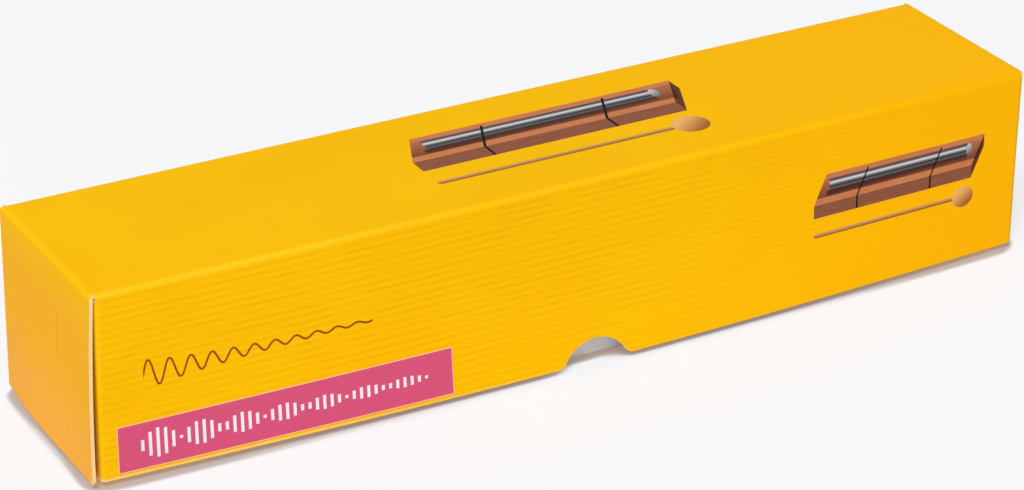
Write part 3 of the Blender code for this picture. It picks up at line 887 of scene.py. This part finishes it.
# %% The thickness of the board
def thicken(name, sheet, finishes):
    """Give a sheet the board's thickness, with finishes for its outside, its inside and its cut edges."""
    count = len(sheet.vertices)
    sheet.materials.clear()
    for finish in finishes:
        sheet.materials.append(finish)
    carrier = on_stage(name, sheet)
    board = carrier.modifiers.new("board", "SOLIDIFY")
    board.thickness = BOARD
    board.offset = 0
    board.use_even_offset = True
    board.material_offset = 1
    board.material_offset_rim = 2
    made = evaluated(carrier)
    outer_first = (made.vertices[0].co - made.vertices[count].co).dot(sheet.vertices[0].normal) > 0
    depth = made.attributes.new("depth", "FLOAT", "POINT")
    depth.data.foreach_set("value", [float((i < count) != outer_first) for i in range(len(made.vertices))])
    return shade(made)


print("board", in_mm(BOARD), "mm thick")

# %% The lid
sheet = to_mesh(folded_sheet(LID_HALF), "lid_sheet")
sheet = run_tree("lid_sheet", sheet, bow_tree(), BOW_SIZES)
lid_mesh = thicken("lid_board", sheet, (PRINTED, LID_INSIDE, LID_EDGE))
lid_mesh.transform(Matrix.Translation((0, 0, RIM)))
show("lid_board", lid_mesh, "lid", "lid")
print("lid:", len(lid_mesh.polygons), "faces")

# %% The tray
sheet = to_mesh(folded_sheet(TRAY_HALF), "tray_sheet")
tray_mesh = thicken("tray_board", sheet, (TRAY_BOARD, TRAY_BOARD, TRAY_EDGE))
tray_mesh.transform(Matrix.Translation((0, 0, TRAY_HEIGHT)) @ Matrix.Rotation(math.pi, 4, "X"))
show("tray_board", tray_mesh, "tray", "tray")
print("tray:", len(tray_mesh.polygons), "faces")

# %% [markdown]
# ## The label
# A paper sticker lies on the front of the lid, so it takes the bow of the wall under it. Shrinkwrap
# could press a flat strip on, but the wall follows a rule, so the same rule places the strip. It is
# magenta, with a row of white strokes that die away as a note does, and a fine pale margin where the
# print stops short of the cut.

# %% The label's place
LABEL_LENGTH, LABEL_HEIGHT = 99 * MM, 14 * MM
LABEL_INSET, LABEL_RAISE = 5.6 * MM, 1.4 * MM


def front_face(x, z):
    """Where the lid's printed front lies at a place, with z from the rim."""
    depth = (1 - z / LID_HEIGHT) ** 2
    bowed = FOLD_BOW + (SIDE_BOW - FOLD_BOW) * depth
    bow = math.cos(math.pi * x / LID_LENGTH) * bowed + SIDE_SPLAY * depth
    return -(LID_WIDTH - BOARD) / 2 * (1 + 2 * bow / LID_WIDTH) - BOARD / 2


print("front lies at y =", in_mm(front_face(0, 0)), "mm at the middle of its rim")

# %% The label's finish
LABEL_HALF, LABEL_MARGIN, MARGIN_SOFT = LABEL_LENGTH / MM / 2, 0.3, 0.04
STROKES, STROKE_PITCH, STROKE_HALF, STROKE_MARGIN = 39, 2.2, 0.45, 6.0
STROKE_RISE, STROKE_LEAST, STROKE_FADE, STROKE_SWELL = 4.4, 0.4, 0.018, 0.26
ROW_HALF = STROKES * STROKE_PITCH / 2


def label_finish():
    """Magenta paper with a row of strokes that swell and die away, and a pale margin."""
    material, place = new_finish("label_paper")
    x, _, z = place.parts()
    along = x + (LID_LENGTH / 2 - LABEL_INSET) / MM
    up = z - (RIM + LABEL_RAISE + LABEL_HEIGHT / 2) / MM
    bar = along.math("FLOORED_MODULO", along - STROKE_MARGIN, STROKE_PITCH) - STROKE_PITCH / 2
    number = along - STROKE_MARGIN - bar
    fading = math.e ** (number * -STROKE_FADE)
    tall = size_of(sine(number * STROKE_SWELL)) * fading * STROKE_RISE + STROKE_LEAST
    stroke = larger(size_of(bar) - STROKE_HALF, size_of(up) - tall)
    within = size_of(along - STROKE_MARGIN - ROW_HALF) - ROW_HALF
    to_edge = larger(size_of(along - LABEL_HALF) - LABEL_HALF, size_of(up) - LABEL_HEIGHT / MM / 2)
    fibres = place.noise((1.2, 1.2, 1.2), 4.0)
    pink = fibres.mix(tint(204, 70, 112), tint(214, 82, 122))
    color = inside(larger(stroke, within)).mix(pink, tint(246, 232, 236))
    margin = (to_edge + LABEL_MARGIN).step(-MARGIN_SOFT, MARGIN_SOFT)
    color = margin.mix(color, tint(255, 192, 120))
    return dress(material, base_color=color, roughness=0.45 + fibres * 0.15, specular_ior_level=0.25,
                 normal=bump(fibres * 0.01))


LABEL_PAPER = label_finish()
print("label finish:", len(LABEL_PAPER.node_tree.nodes), "nodes")

# %% The label
PAPER, LABEL_LIFT = 0.16 * MM, 0.05 * MM
bm = bmesh.new()
left = LABEL_INSET - LID_LENGTH / 2
columns = spread(left, left + LABEL_LENGTH, 3 * MM)
rows = spread(LABEL_RAISE, LABEL_RAISE + LABEL_HEIGHT, 2 * MM)
add_sheet(bm, columns, rows, lambda x, z: (x, front_face(x, z) - LABEL_LIFT - PAPER / 2, z + RIM))
label_mesh = to_mesh(bm, "label")
label_mesh.materials.append(LABEL_PAPER)
label = show("label", label_mesh, "lid", "note_label")
paper = label.modifiers.new("paper", "SOLIDIFY")
paper.thickness = PAPER
paper.offset = 0
print("label:", in_mm(LABEL_LENGTH), "by", in_mm(LABEL_HEIGHT), "mm")

# %% [markdown]
# ## The wooden base
# The base is a block with a scoop milled along its top, so that the rod hangs over air and rings
# freely. Grooves round it keep the cords in place. A profile could be extruded, but the grooves cross
# it, so the block is cut as a workshop would cut it: a Boolean for the scoop, a Bevel for the edges,
# then Booleans for the grooves. The wood's rings are drawn round an axis along the block, below it, so
# that the ends show end grain.

# %% Wood
def wood(name, pale, dark, pore, axis, ring, gloss):
    """Timber grown round an axis along X, with growth bands about a ring wide, and open pores."""
    material, place = new_finish(name)
    _, y, z = place.parts()
    waver = place.noise((0.008, 0.06, 0.06), 3.0) * 12.0
    far_y, far_z = y - axis[0], z - axis[1]
    rings = (far_y * far_y + far_z * far_z) ** 0.5 + waver
    growth = rings.noise_along(1 / ring, 3.0)
    fibres = place.noise((0.05, 2.4, 2.4), 5.0)
    ribbon = place.noise((0.02, 0.12, 0.12), 2.0)
    pores = place.noise((0.22, 5.2, 5.2), 2.0).step(0.60, 0.70)
    color = (growth * 0.5 + fibres * 0.35 + ribbon * 0.3).step(0.35, 0.82).mix(pale, dark)
    color = (pores * 0.5).mix(color, pore)
    return dress(material, base_color=color, roughness=0.36 + fibres * 0.16 + pores * 0.12,
                 coat_weight=gloss, coat_roughness=0.3, specular_ior_level=0.35,
                 normal=bump(fibres * 0.02 - pores * 0.03))


print("wood: growth bands, fibres, ribbon and pores")


# %% Cutting tools
def cut_away(block, tools):
    """Cut tools out of a block, in turn."""
    for tool in tools:
        cutter = on_stage("cutter", tool)
        boolean = block.modifiers.new("cut", "BOOLEAN")
        boolean.operation = "DIFFERENCE"
        boolean.object = cutter
        made = shaped(block)
        block.modifiers.clear()
        block.data = made
        bpy.data.objects.remove(cutter)


def arc(centre, radius, start, end, step=5):
    """Points on an arc in the plane, from one angle to another in degrees."""
    count = max(2, math.ceil(abs(end - start) / step))
    angles = [math.radians(start + (end - start) * i / count) for i in range(count + 1)]
    return [Vector((centre[0] + radius * math.cos(a), centre[1] + radius * math.sin(a))) for a in angles]


print("tools for the base: cut and arc")


# %% A tool for the grooves
def groove_tool(x, low, high, radius, width):
    """A frame round the base at x, whose inside is the floor of the groove."""
    corners = ((high.x - radius, low.y + radius, -90), (high.x - radius, high.y - radius, 0),
               (low.x + radius, high.y - radius, 90), (low.x + radius, low.y + radius, 180))
    floor_line = [p for y, z, turn in corners for p in arc((y, z), radius, turn, turn + 90, 15)]
    out = 20 * MM
    frame_line = [Vector(p) for p in ((low.x - out, low.y - out), (high.x + out, low.y - out),
                                      (high.x + out, high.y + out), (low.x - out, high.y + out))]
    curve = bpy.data.curves.new("groove", "CURVE")
    curve.dimensions = "2D"
    curve.fill_mode = "BOTH"
    curve.extrude = width / 2
    for line in (floor_line, frame_line):
        spline = curve.splines.new("POLY")
        spline.points.add(len(line) - 1)
        for point, spot in zip(spline.points, line):
            point.co = (spot.x, spot.y, 0, 1)
        spline.use_cyclic_u = True
    mesh = evaluated(on_stage("groove", curve))
    bm = bmesh.new()
    bm.from_mesh(mesh)
    bmesh.ops.remove_doubles(bm, verts=bm.verts, dist=0.001 * MM)
    upright = Matrix(((0, 0, 1, x), (1, 0, 0, 0), (0, 1, 0, 0), (0, 0, 0, 1)))
    bmesh.ops.transform(bm, matrix=upright, verts=bm.verts)
    bmesh.ops.recalc_face_normals(bm, faces=bm.faces)
    return to_mesh(bm, "groove")


print("the grooves' tool is a frame that stands across the base")

# %% Sizes of the base
BASE_LOW, BASE_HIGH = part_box("base")
MIDDLE = (BASE_LOW + BASE_HIGH) / 2
BASE_WIDTH, BASE_TOP = BASE_HIGH.y - BASE_LOW.y, BASE_HIGH.z
SCOOP_WIDTH, SCOOP_DEPTH = 27 * MM, 7 * MM
CORD, STRAND_GAP = 1.6 * MM, 0.6 * MM
FACE_GROOVE, UNDER_GROOVE, TOP_GROOVE, GROOVE_ROUND = 1.2 * MM, 2.2 * MM, 0.6 * MM, 2 * MM
GROOVE_WIDTH = 2 * CORD + STRAND_GAP + 2 * GAP
CORD_PLACES = {name: sum(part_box(name), Vector()).x / 2 for name in ("left_cord", "right_cord")}
print("base", [in_mm(v) for v in BASE_HIGH - BASE_LOW], "mm, grooves", in_mm(GROOVE_WIDTH), "mm wide")

# %% The block and its scoop
CUTTER_LENGTH, CUTTER_SIDES = 0.5, 256
bm = bmesh.new()
bmesh.ops.create_cube(bm, size=1)
for vert in bm.verts:
    vert.co = MIDDLE + vert.co * (BASE_HIGH - BASE_LOW)
block = on_stage("block", to_mesh(bm, "block"))
scoop_radius = (SCOOP_WIDTH ** 2 / 4 + SCOOP_DEPTH ** 2) / (2 * SCOOP_DEPTH)
scoop_line = Matrix.Translation((MIDDLE.x, MIDDLE.y, BASE_TOP - SCOOP_DEPTH + scoop_radius))
bm = bmesh.new()
bmesh.ops.create_cone(bm, cap_ends=True, segments=CUTTER_SIDES, radius1=scoop_radius, radius2=scoop_radius,
                      depth=CUTTER_LENGTH, matrix=scoop_line @ Matrix.Rotation(math.pi / 2, 4, "Y"))
cut_away(block, [to_mesh(bm, "scoop")])
print("scoop radius", in_mm(scoop_radius), "mm")

# %% Round edges, and grooves for the cords
BASE_EDGE, EDGE_STEPS = 1.2 * MM, 4
rounding = block.modifiers.new("edges", "BEVEL")
rounding.width = BASE_EDGE
rounding.segments = EDGE_STEPS
rounding.limit_method = "ANGLE"
rounding.angle_limit = math.radians(30)
floor_low = Vector((BASE_LOW.y + FACE_GROOVE, BASE_LOW.z + UNDER_GROOVE))
floor_high = Vector((BASE_HIGH.y - FACE_GROOVE, BASE_TOP - TOP_GROOVE))
places = CORD_PLACES.values()
cut_away(block, [groove_tool(x, floor_low, floor_high, GROOVE_ROUND, GROOVE_WIDTH) for x in places])
base_mesh = evaluated(block)
base_mesh.materials.clear()
base_mesh.materials.append(wood("red_brown_wood", tint(188, 112, 74), tint(140, 76, 50), tint(84, 42, 28),
                                (-18, -34), 3.4, 0.15))
show("scooped_base", shade(base_mesh, 35), "chime", "base")
print("base:", len(base_mesh.polygons), "faces")

# %% [markdown]
# ## Turned pieces
# The rod, the mallet's stick and its head are all turned on a lathe, so one function turns a profile round
# a line along X. Spin could do it, but the grids of faces that made the carton do the same. The rod is cut
# from bright aluminium bar, its ends faced and chamfered. It carries fine lines round it. The head is
# drilled for the stick, and the drill hole shows where the stick goes in.

# %% A lathe
def turned(name, profile, line, sides=96):
    """Turn a profile of (x, radius) round a line along X. A radius of zero closes an end."""
    bm = bmesh.new()
    angles = [math.tau * i / sides for i in range(sides + 1)]

    def place(i, angle):
        x, radius = profile[i]
        return (x, line[0] + radius * math.cos(angle), line[1] + radius * math.sin(angle))

    add_sheet(bm, list(range(len(profile))), angles, place)
    bmesh.ops.remove_doubles(bm, verts=bm.verts, dist=0.002 * MM)
    bmesh.ops.dissolve_degenerate(bm, edges=bm.edges, dist=0.001 * MM)
    bmesh.ops.recalc_face_normals(bm, faces=bm.faces)
    return shade(to_mesh(bm, name), 30)


print("a lathe of 96 sides")

# %% Bright aluminium
ROD_LOW, ROD_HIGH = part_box("rod")
ROD_MIDDLE = (ROD_LOW + ROD_HIGH) / 2
ROD_RADIUS = (ROD_HIGH.z - ROD_LOW.z) / 2


def aluminium():
    """Bright metal with fine lines round it, and rings on its faced ends."""
    material, place = new_finish("turned_aluminium")
    x, y, z = place.parts()
    rod_y, rod_z = y - ROD_MIDDLE.y / MM, z - ROD_MIDDLE.z / MM
    out = (rod_y * rod_y + rod_z * rod_z) ** 0.5
    on_face = out.step(ROD_RADIUS / MM - 0.1, ROD_RADIUS / MM - 0.4)
    along = on_face * out + (1 - on_face) * x
    lines = along.noise_along(9.0, 4.0)
    smears = place.noise((0.05, 0.4, 0.4), 3.0)
    color = smears.mix(tint(198, 199, 203), tint(214, 215, 218))
    return dress(material, base_color=color, metallic=1.0, roughness=0.16 + lines * 0.14 + smears * 0.06,
                 normal=bump(lines * 0.004))


print("rod", in_mm(2 * ROD_RADIUS), "mm across")

# %% The rod
ROD_CHAMFER, SOFT_EDGE, SOFT_LENGTH = 0.8 * MM, 0.03 * MM, 0.08 * MM
left, right = ROD_LOW.x, ROD_HIGH.x
rings = [0, 2.5 * MM, 5 * MM, ROD_RADIUS - ROD_CHAMFER - SOFT_LENGTH]
faced = [(0, radius) for radius in rings]
faced += [(SOFT_EDGE, ROD_RADIUS - ROD_CHAMFER), (ROD_CHAMFER, ROD_RADIUS - SOFT_EDGE),
          (ROD_CHAMFER + SOFT_LENGTH, ROD_RADIUS)]
middles = [(left + (right - left) * i / 8, ROD_RADIUS) for i in range(1, 8)]
profile = [(left + x, r) for x, r in faced] + middles + [(right - x, r) for x, r in reversed(faced)]
rod_mesh = turned("rod_bar", profile, (ROD_MIDDLE.y, ROD_MIDDLE.z))
rod_mesh.materials.append(aluminium())
show("rod_bar", rod_mesh, "rod", "rod")
print("rod:", in_mm(right - left), "mm long,", len(rod_mesh.polygons), "faces")

# %% The mallet's stick
STICK_END_ROUND = 2.2 * MM
STICK_LOW, STICK_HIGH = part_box("mallet_stick")
STICK_LINE = ((STICK_LOW.y + STICK_HIGH.y) / 2, (STICK_LOW.z + STICK_HIGH.z) / 2)
STICK_RADIUS = (STICK_HIGH.z - STICK_LOW.z) / 2
PALE_WOOD = wood("pale_wood", tint(230, 178, 112), tint(206, 146, 80), tint(160, 104, 52), (6, 20), 2.6, 0.1)
tail = arc((STICK_HIGH.x - STICK_END_ROUND, STICK_RADIUS - STICK_END_ROUND), STICK_END_ROUND, 90, 0, 10)
profile = [(STICK_LOW.x, 0), (STICK_LOW.x, STICK_RADIUS), *(tuple(p) for p in tail), (STICK_HIGH.x, 0)]
stick_mesh = turned("stick_dowel", profile, STICK_LINE, 64)
stick_mesh.materials.append(PALE_WOOD)
show("stick_dowel", stick_mesh, "mallet", "mallet_stick")
print("stick", in_mm(2 * STICK_RADIUS), "mm across")

# %% The mallet's head
BORE_DEPTH, MOUTH_ROUND, MOUTH_EASE = 18 * MM, 0.25 * MM, 0.06 * MM
HEAD_LOW, HEAD_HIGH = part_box("mallet_head")
HEAD_RADIUS = (HEAD_HIGH.z - HEAD_LOW.z) / 2
head_x, bore = HEAD_LOW.x + HEAD_RADIUS, STICK_RADIUS + GAP
mouth = math.degrees(math.asin((bore + MOUTH_ROUND) / HEAD_RADIUS))
ball = [(head_x + p.x, abs(p.y)) for p in arc((0, 0), HEAD_RADIUS, 180, mouth, 3)]
mouth_x, floor_x = ball[-1][0], head_x + HEAD_RADIUS - BORE_DEPTH - GAP
drilled = [(mouth_x - MOUTH_EASE, bore + MOUTH_EASE), (mouth_x - MOUTH_ROUND, bore),
           (floor_x, bore), (floor_x, 0)]
head_mesh = turned("head_ball", ball + drilled, STICK_LINE)
head_mesh.materials.append(PALE_WOOD)
show("head_ball", head_mesh, "mallet", "mallet_head")
print("head", in_mm(2 * HEAD_RADIUS), "mm across")

# %% [markdown]
# ## The cords
# Each cord is one closed elastic loop that goes twice round the base: one turn passes over the rod and
# the other under it, and they change sides where they cross. The rod hangs between them at the two
# places that stay still as it rings. A curve with a round bevel would give the tube, but not the two
# values that the braid is drawn from, so Geometry Nodes sweep a round section along the route and keep
# them.

# %% The route of a cord
STAND_OFF = GAP + CORD / 2
SIDE = BASE_WIDTH / 2 - FACE_GROOVE + STAND_OFF
LOW, HIGH = UNDER_GROOVE - STAND_OFF, BASE_TOP - BASE_LOW.z - TOP_GROOVE + STAND_OFF
BEND = GROOVE_ROUND + STAND_OFF
ROUND_ROD = ROD_RADIUS + STAND_OFF
AXIS = Vector((0, ROD_MIDDLE.z - BASE_LOW.z))


def quarter(crossing):
    """From under the base, up one side and over or under the rod, in the plane across the base."""
    low_bend = arc((SIDE - BEND, LOW + BEND), BEND, -90, 0)
    if crossing == "over":
        reach = AXIS - Vector((SIDE, HIGH))
        climb = math.degrees(math.atan2(reach.y, -reach.x) + math.asin(ROUND_ROD / reach.length))
        drop = BEND * math.tan(math.radians(90 - climb) / 2)
        high_bend = arc((SIDE - BEND, HIGH - drop), BEND, 0, 90 - climb)
        round_rod = arc(AXIS, ROUND_ROD, 90 - climb, 90)
    else:
        high_bend = arc((SIDE - BEND, HIGH - BEND), BEND, 0, 90)
        high_bend.append(Vector((SCOOP_WIDTH / 2, HIGH)))
        reach = AXIS - high_bend[-1]
        dip = math.degrees(math.asin(ROUND_ROD / reach.length) - math.atan2(reach.y, -reach.x))
        round_rod = arc(AXIS, ROUND_ROD, dip - 90, -90)
    return [Vector((0, LOW)), *low_bend, *high_bend, *round_rod]


print("cord runs", in_mm(2 * SIDE), "mm apart at the base")

# %% The loop in space
STRAND_OFFSET = (CORD + STRAND_GAP) / 2


def filled(points, step=2 * MM):
    """The same route with long straight stretches divided."""
    route = [points[0]]
    for point in points[1:]:
        count = max(1, math.ceil((point - route[-1]).length / step))
        start = route[-1]
        route += [start.lerp(point, i / count) for i in range(1, count + 1)]
    return route


def strand(crossing, side, x):
    """One quarter of the loop in space. It slides to its side of the groove as it leaves the rod."""
    points = []
    swap = 1 if crossing == "over" else -1
    for flat in filled(quarter(crossing)):
        share = min(1, flat.x / (SIDE - BEND))
        shift = math.sin(share * math.pi / 2) if flat.y > LOW + BEND else 1
        along = x - swap * side * STRAND_OFFSET * shift
        points.append(Vector((along, MIDDLE.y + side * flat.x, BASE_LOW.z + flat.y)))
    return points


print("strands lie", in_mm(2 * STRAND_OFFSET), "mm apart in a groove")

# %% Braided elastic
BRAID_PITCH = 0.9


def elastic():
    """Black braid, from how far along the cord and how far round it a place lies."""
    material, place = new_finish("black_elastic")
    along = place.node("ShaderNodeAttribute", out="Fac", attribute_name="along") * 1000
    weave = place.node("ShaderNodeAttribute", out="Fac", attribute_name="weave")
    wave = sine(along * (math.pi / BRAID_PITCH))
    braid = wave * wave - weave
    fuzz = place.noise((6, 6, 6), 2.0)
    color = (braid * 0.5 + 0.5).mix(tint(12, 12, 13), tint(38, 37, 39))
    return dress(material, base_color=color, roughness=0.7 + fuzz * 0.2, specular_ior_level=0.3,
                 normal=bump(braid * 0.06 + fuzz * 0.02))


ELASTIC = elastic()
print("elastic braid every", BRAID_PITCH, "mm")

# %% A tree that sweeps a cord
CORD_SIDES, BRAID_WAVES = 16, 4
CORD_SIZES = {"Diameter": CORD}


def keep_on(curve, name, value):
    """Store a value on the points of a curve, for the finish to read."""
    return curve.node("GeometryNodeStoreNamedAttribute", {"Geometry": curve, "Name": name, "Value": value},
                      data_type="FLOAT", domain="POINT")


def cord_tree():
    """A tree that sweeps a round section along a route and keeps where each point lies on it."""
    tree, given = geometry_tree("swept_cord", CORD_SIZES)
    route = given["Geometry"].node("GeometryNodeMeshToCurve", {0: given["Geometry"]})
    route = keep_on(route, "along", route.node("GeometryNodeSplineParameter", out="Length"))
    section = {"Resolution": CORD_SIDES, "Radius": given["Diameter"] / 2}
    circle = route.node("GeometryNodeCurvePrimitiveCircle", section)
    turn = circle.node("GeometryNodeSplineParameter", out="Factor")
    wave = sine(turn * (math.tau * BRAID_WAVES))
    circle = keep_on(circle, "weave", wave * wave)
    sweep = {"Curve": route, "Profile Curve": circle, "Fill Caps": True}
    swept = route.node("GeometryNodeCurveToMesh", sweep)
    smooth = swept.node("GeometryNodeSetShadeSmooth", {0: swept, "Shade Smooth": True})
    close_tree(tree, smooth, ELASTIC)
    return tree


CORD_TREE = cord_tree()
print("cord tree:", len(CORD_TREE.nodes), "nodes")

# %% The two cords
for node, x in CORD_PLACES.items():
    for crossing in ("over", "under"):
        for side, word in ((-1, "front"), (1, "back")):
            points = strand(crossing, side, x)
            line = bpy.data.meshes.new("route")
            line.from_pydata(points, [(i, i + 1) for i in range(len(points) - 1)], [])
            name = f"{node}_{crossing}_{word}"
            piece = on_stage(name, run_tree(name, line, CORD_TREE, CORD_SIZES))
            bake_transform(piece)
            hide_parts(node)
print("cords:", 4 * len(CORD_PLACES), "lengths")

# %% [markdown]
# ## The camera, the floor and the light
# The photograph was taken with a long lens from the front left and above. The camera's place, turn and
# lens were worked out from the carton's corners. The light is even and soft, as in a light tent: a
# white sky all round, with one large lamp above, to the front and left. Both are set so that a colour
# renders about as it is written.
#
# More light would make the floor white, but it would also bleach the object. So the floor adds some
# white of its own, only where the camera or a shiny surface looks at it. Close under the object,
# where little light gets in, it adds a dim brown instead: a painted shadow, warm as the light that a
# yellow carton throws on a floor, so the narrow shadow there stays dark.

# %% Camera
CAMERA_PLACE = (-0.4514, -0.76568, 0.47315)
CAMERA_TURN = (63.1211, -0.739, -29.7327)
LENS, SENSOR = 122.18, 36.0
camera = on_stage("camera", bpy.data.cameras.new("camera"))
camera.location = CAMERA_PLACE
camera.rotation_euler = [math.radians(angle) for angle in CAMERA_TURN]
camera.data.lens = LENS
camera.data.sensor_width = SENSOR
bpy.context.scene.camera = camera
print("camera", [round(v, 3) for v in CAMERA_PLACE], "lens", LENS)

# %% The floor
COOL_WHITE = (0.975, 0.985, 1.0, 1.0)
UNDER_SHADOW_BROWN, EDGE_SHADOW_BROWN = tint(192, 156, 114), tint(168, 147, 138)
FLOOR_GLOW, NEAR_FLOOR = 0.68, 7 * MM
UNDER_SHARE, EDGE_SHARE = (0.3, 0.6), (0.64, 0.76)


def seen_straight(start):
    """1 for rays from the camera and for those that a shiny or clear surface sends on, else 0."""
    path = start.node("ShaderNodeLightPath").socket.node
    kinds = ("Camera", "Glossy", "Transmission")
    rays = [Field(start.tree, path.outputs[f"Is {kind} Ray"]) for kind in kinds]
    return larger(larger(rays[0], rays[1]), rays[2])


def floor_finish():
    """A matt floor that shows nearly white, and still takes the object's shadow, with a painted brown shadow
    close under the object.
    """
    material, place = new_finish("floor")
    soft = place.noise((10, 10, 10))
    open_floor = place.node("ShaderNodeAmbientOcclusion", {"Distance": NEAR_FLOOR}, out="AO", samples=32)
    pale = soft.mix(tint(235, 234, 237), tint(239, 238, 241))
    dress(material, base_color=pale, roughness=0.9, specular_ior_level=0.1)
    matt = Field(place.tree, place.tree.nodes["Principled BSDF"].outputs[0])
    # Close under the object the glow turns a dim brown: a painted shadow, warm as light from the yellow
    # carton.
    near = open_floor.step(*UNDER_SHARE).mix(UNDER_SHADOW_BROWN, EDGE_SHADOW_BROWN)
    shown = open_floor.step(*EDGE_SHARE).mix(near, COOL_WHITE)
    glow = place.node("ShaderNodeEmission", {"Color": shown, "Strength": 1.0})
    share = seen_straight(place) * FLOOR_GLOW
    both = place.node("ShaderNodeMixShader", {0: share, 1: matt, 2: glow})
    place.tree.links.new(both.socket, place.tree.nodes["Material Output"].inputs["Surface"])
    return material


bm = bmesh.new()
bmesh.ops.create_grid(bm, x_segments=1, y_segments=1, size=4)
floor = on_stage("floor", to_mesh(bm, "floor"))
floor.data.materials.append(floor_finish())
floor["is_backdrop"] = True
print("floor shows", round(100 * FLOOR_GLOW), "percent white of its own")

# %% The light
SKY, LAMP_POWER, LAMP_SIZE = 0.42, 172.0, 1.5
LAMP_PLACE = (-2.0, -2.2, 3.75)
world = bpy.data.worlds.new("light_tent")
bpy.context.scene.world = world
world.use_nodes = True
sky = Field(world.node_tree)
shine = seen_straight(sky) * (1 - SKY) + SKY
backdrop = world.node_tree.nodes["Background"]
backdrop.inputs["Color"].default_value = (1, 1, 1, 1)
world.node_tree.links.new(shine.socket, backdrop.inputs["Strength"])

lamp = on_stage("soft_box", bpy.data.lights.new("soft_box", "AREA"))
lamp.data.energy = LAMP_POWER
lamp.data.size = LAMP_SIZE
lamp.location = LAMP_PLACE
lamp.rotation_euler = (-lamp.location).to_track_quat("-Z", "Y").to_euler()
bpy.context.scene.view_settings.view_transform = "Standard"
print("sky", SKY, "lamp", LAMP_POWER, "W")

# %% Sizes, and the end
low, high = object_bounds()
print("visual box", [in_mm(v, 2) for v in high - low])
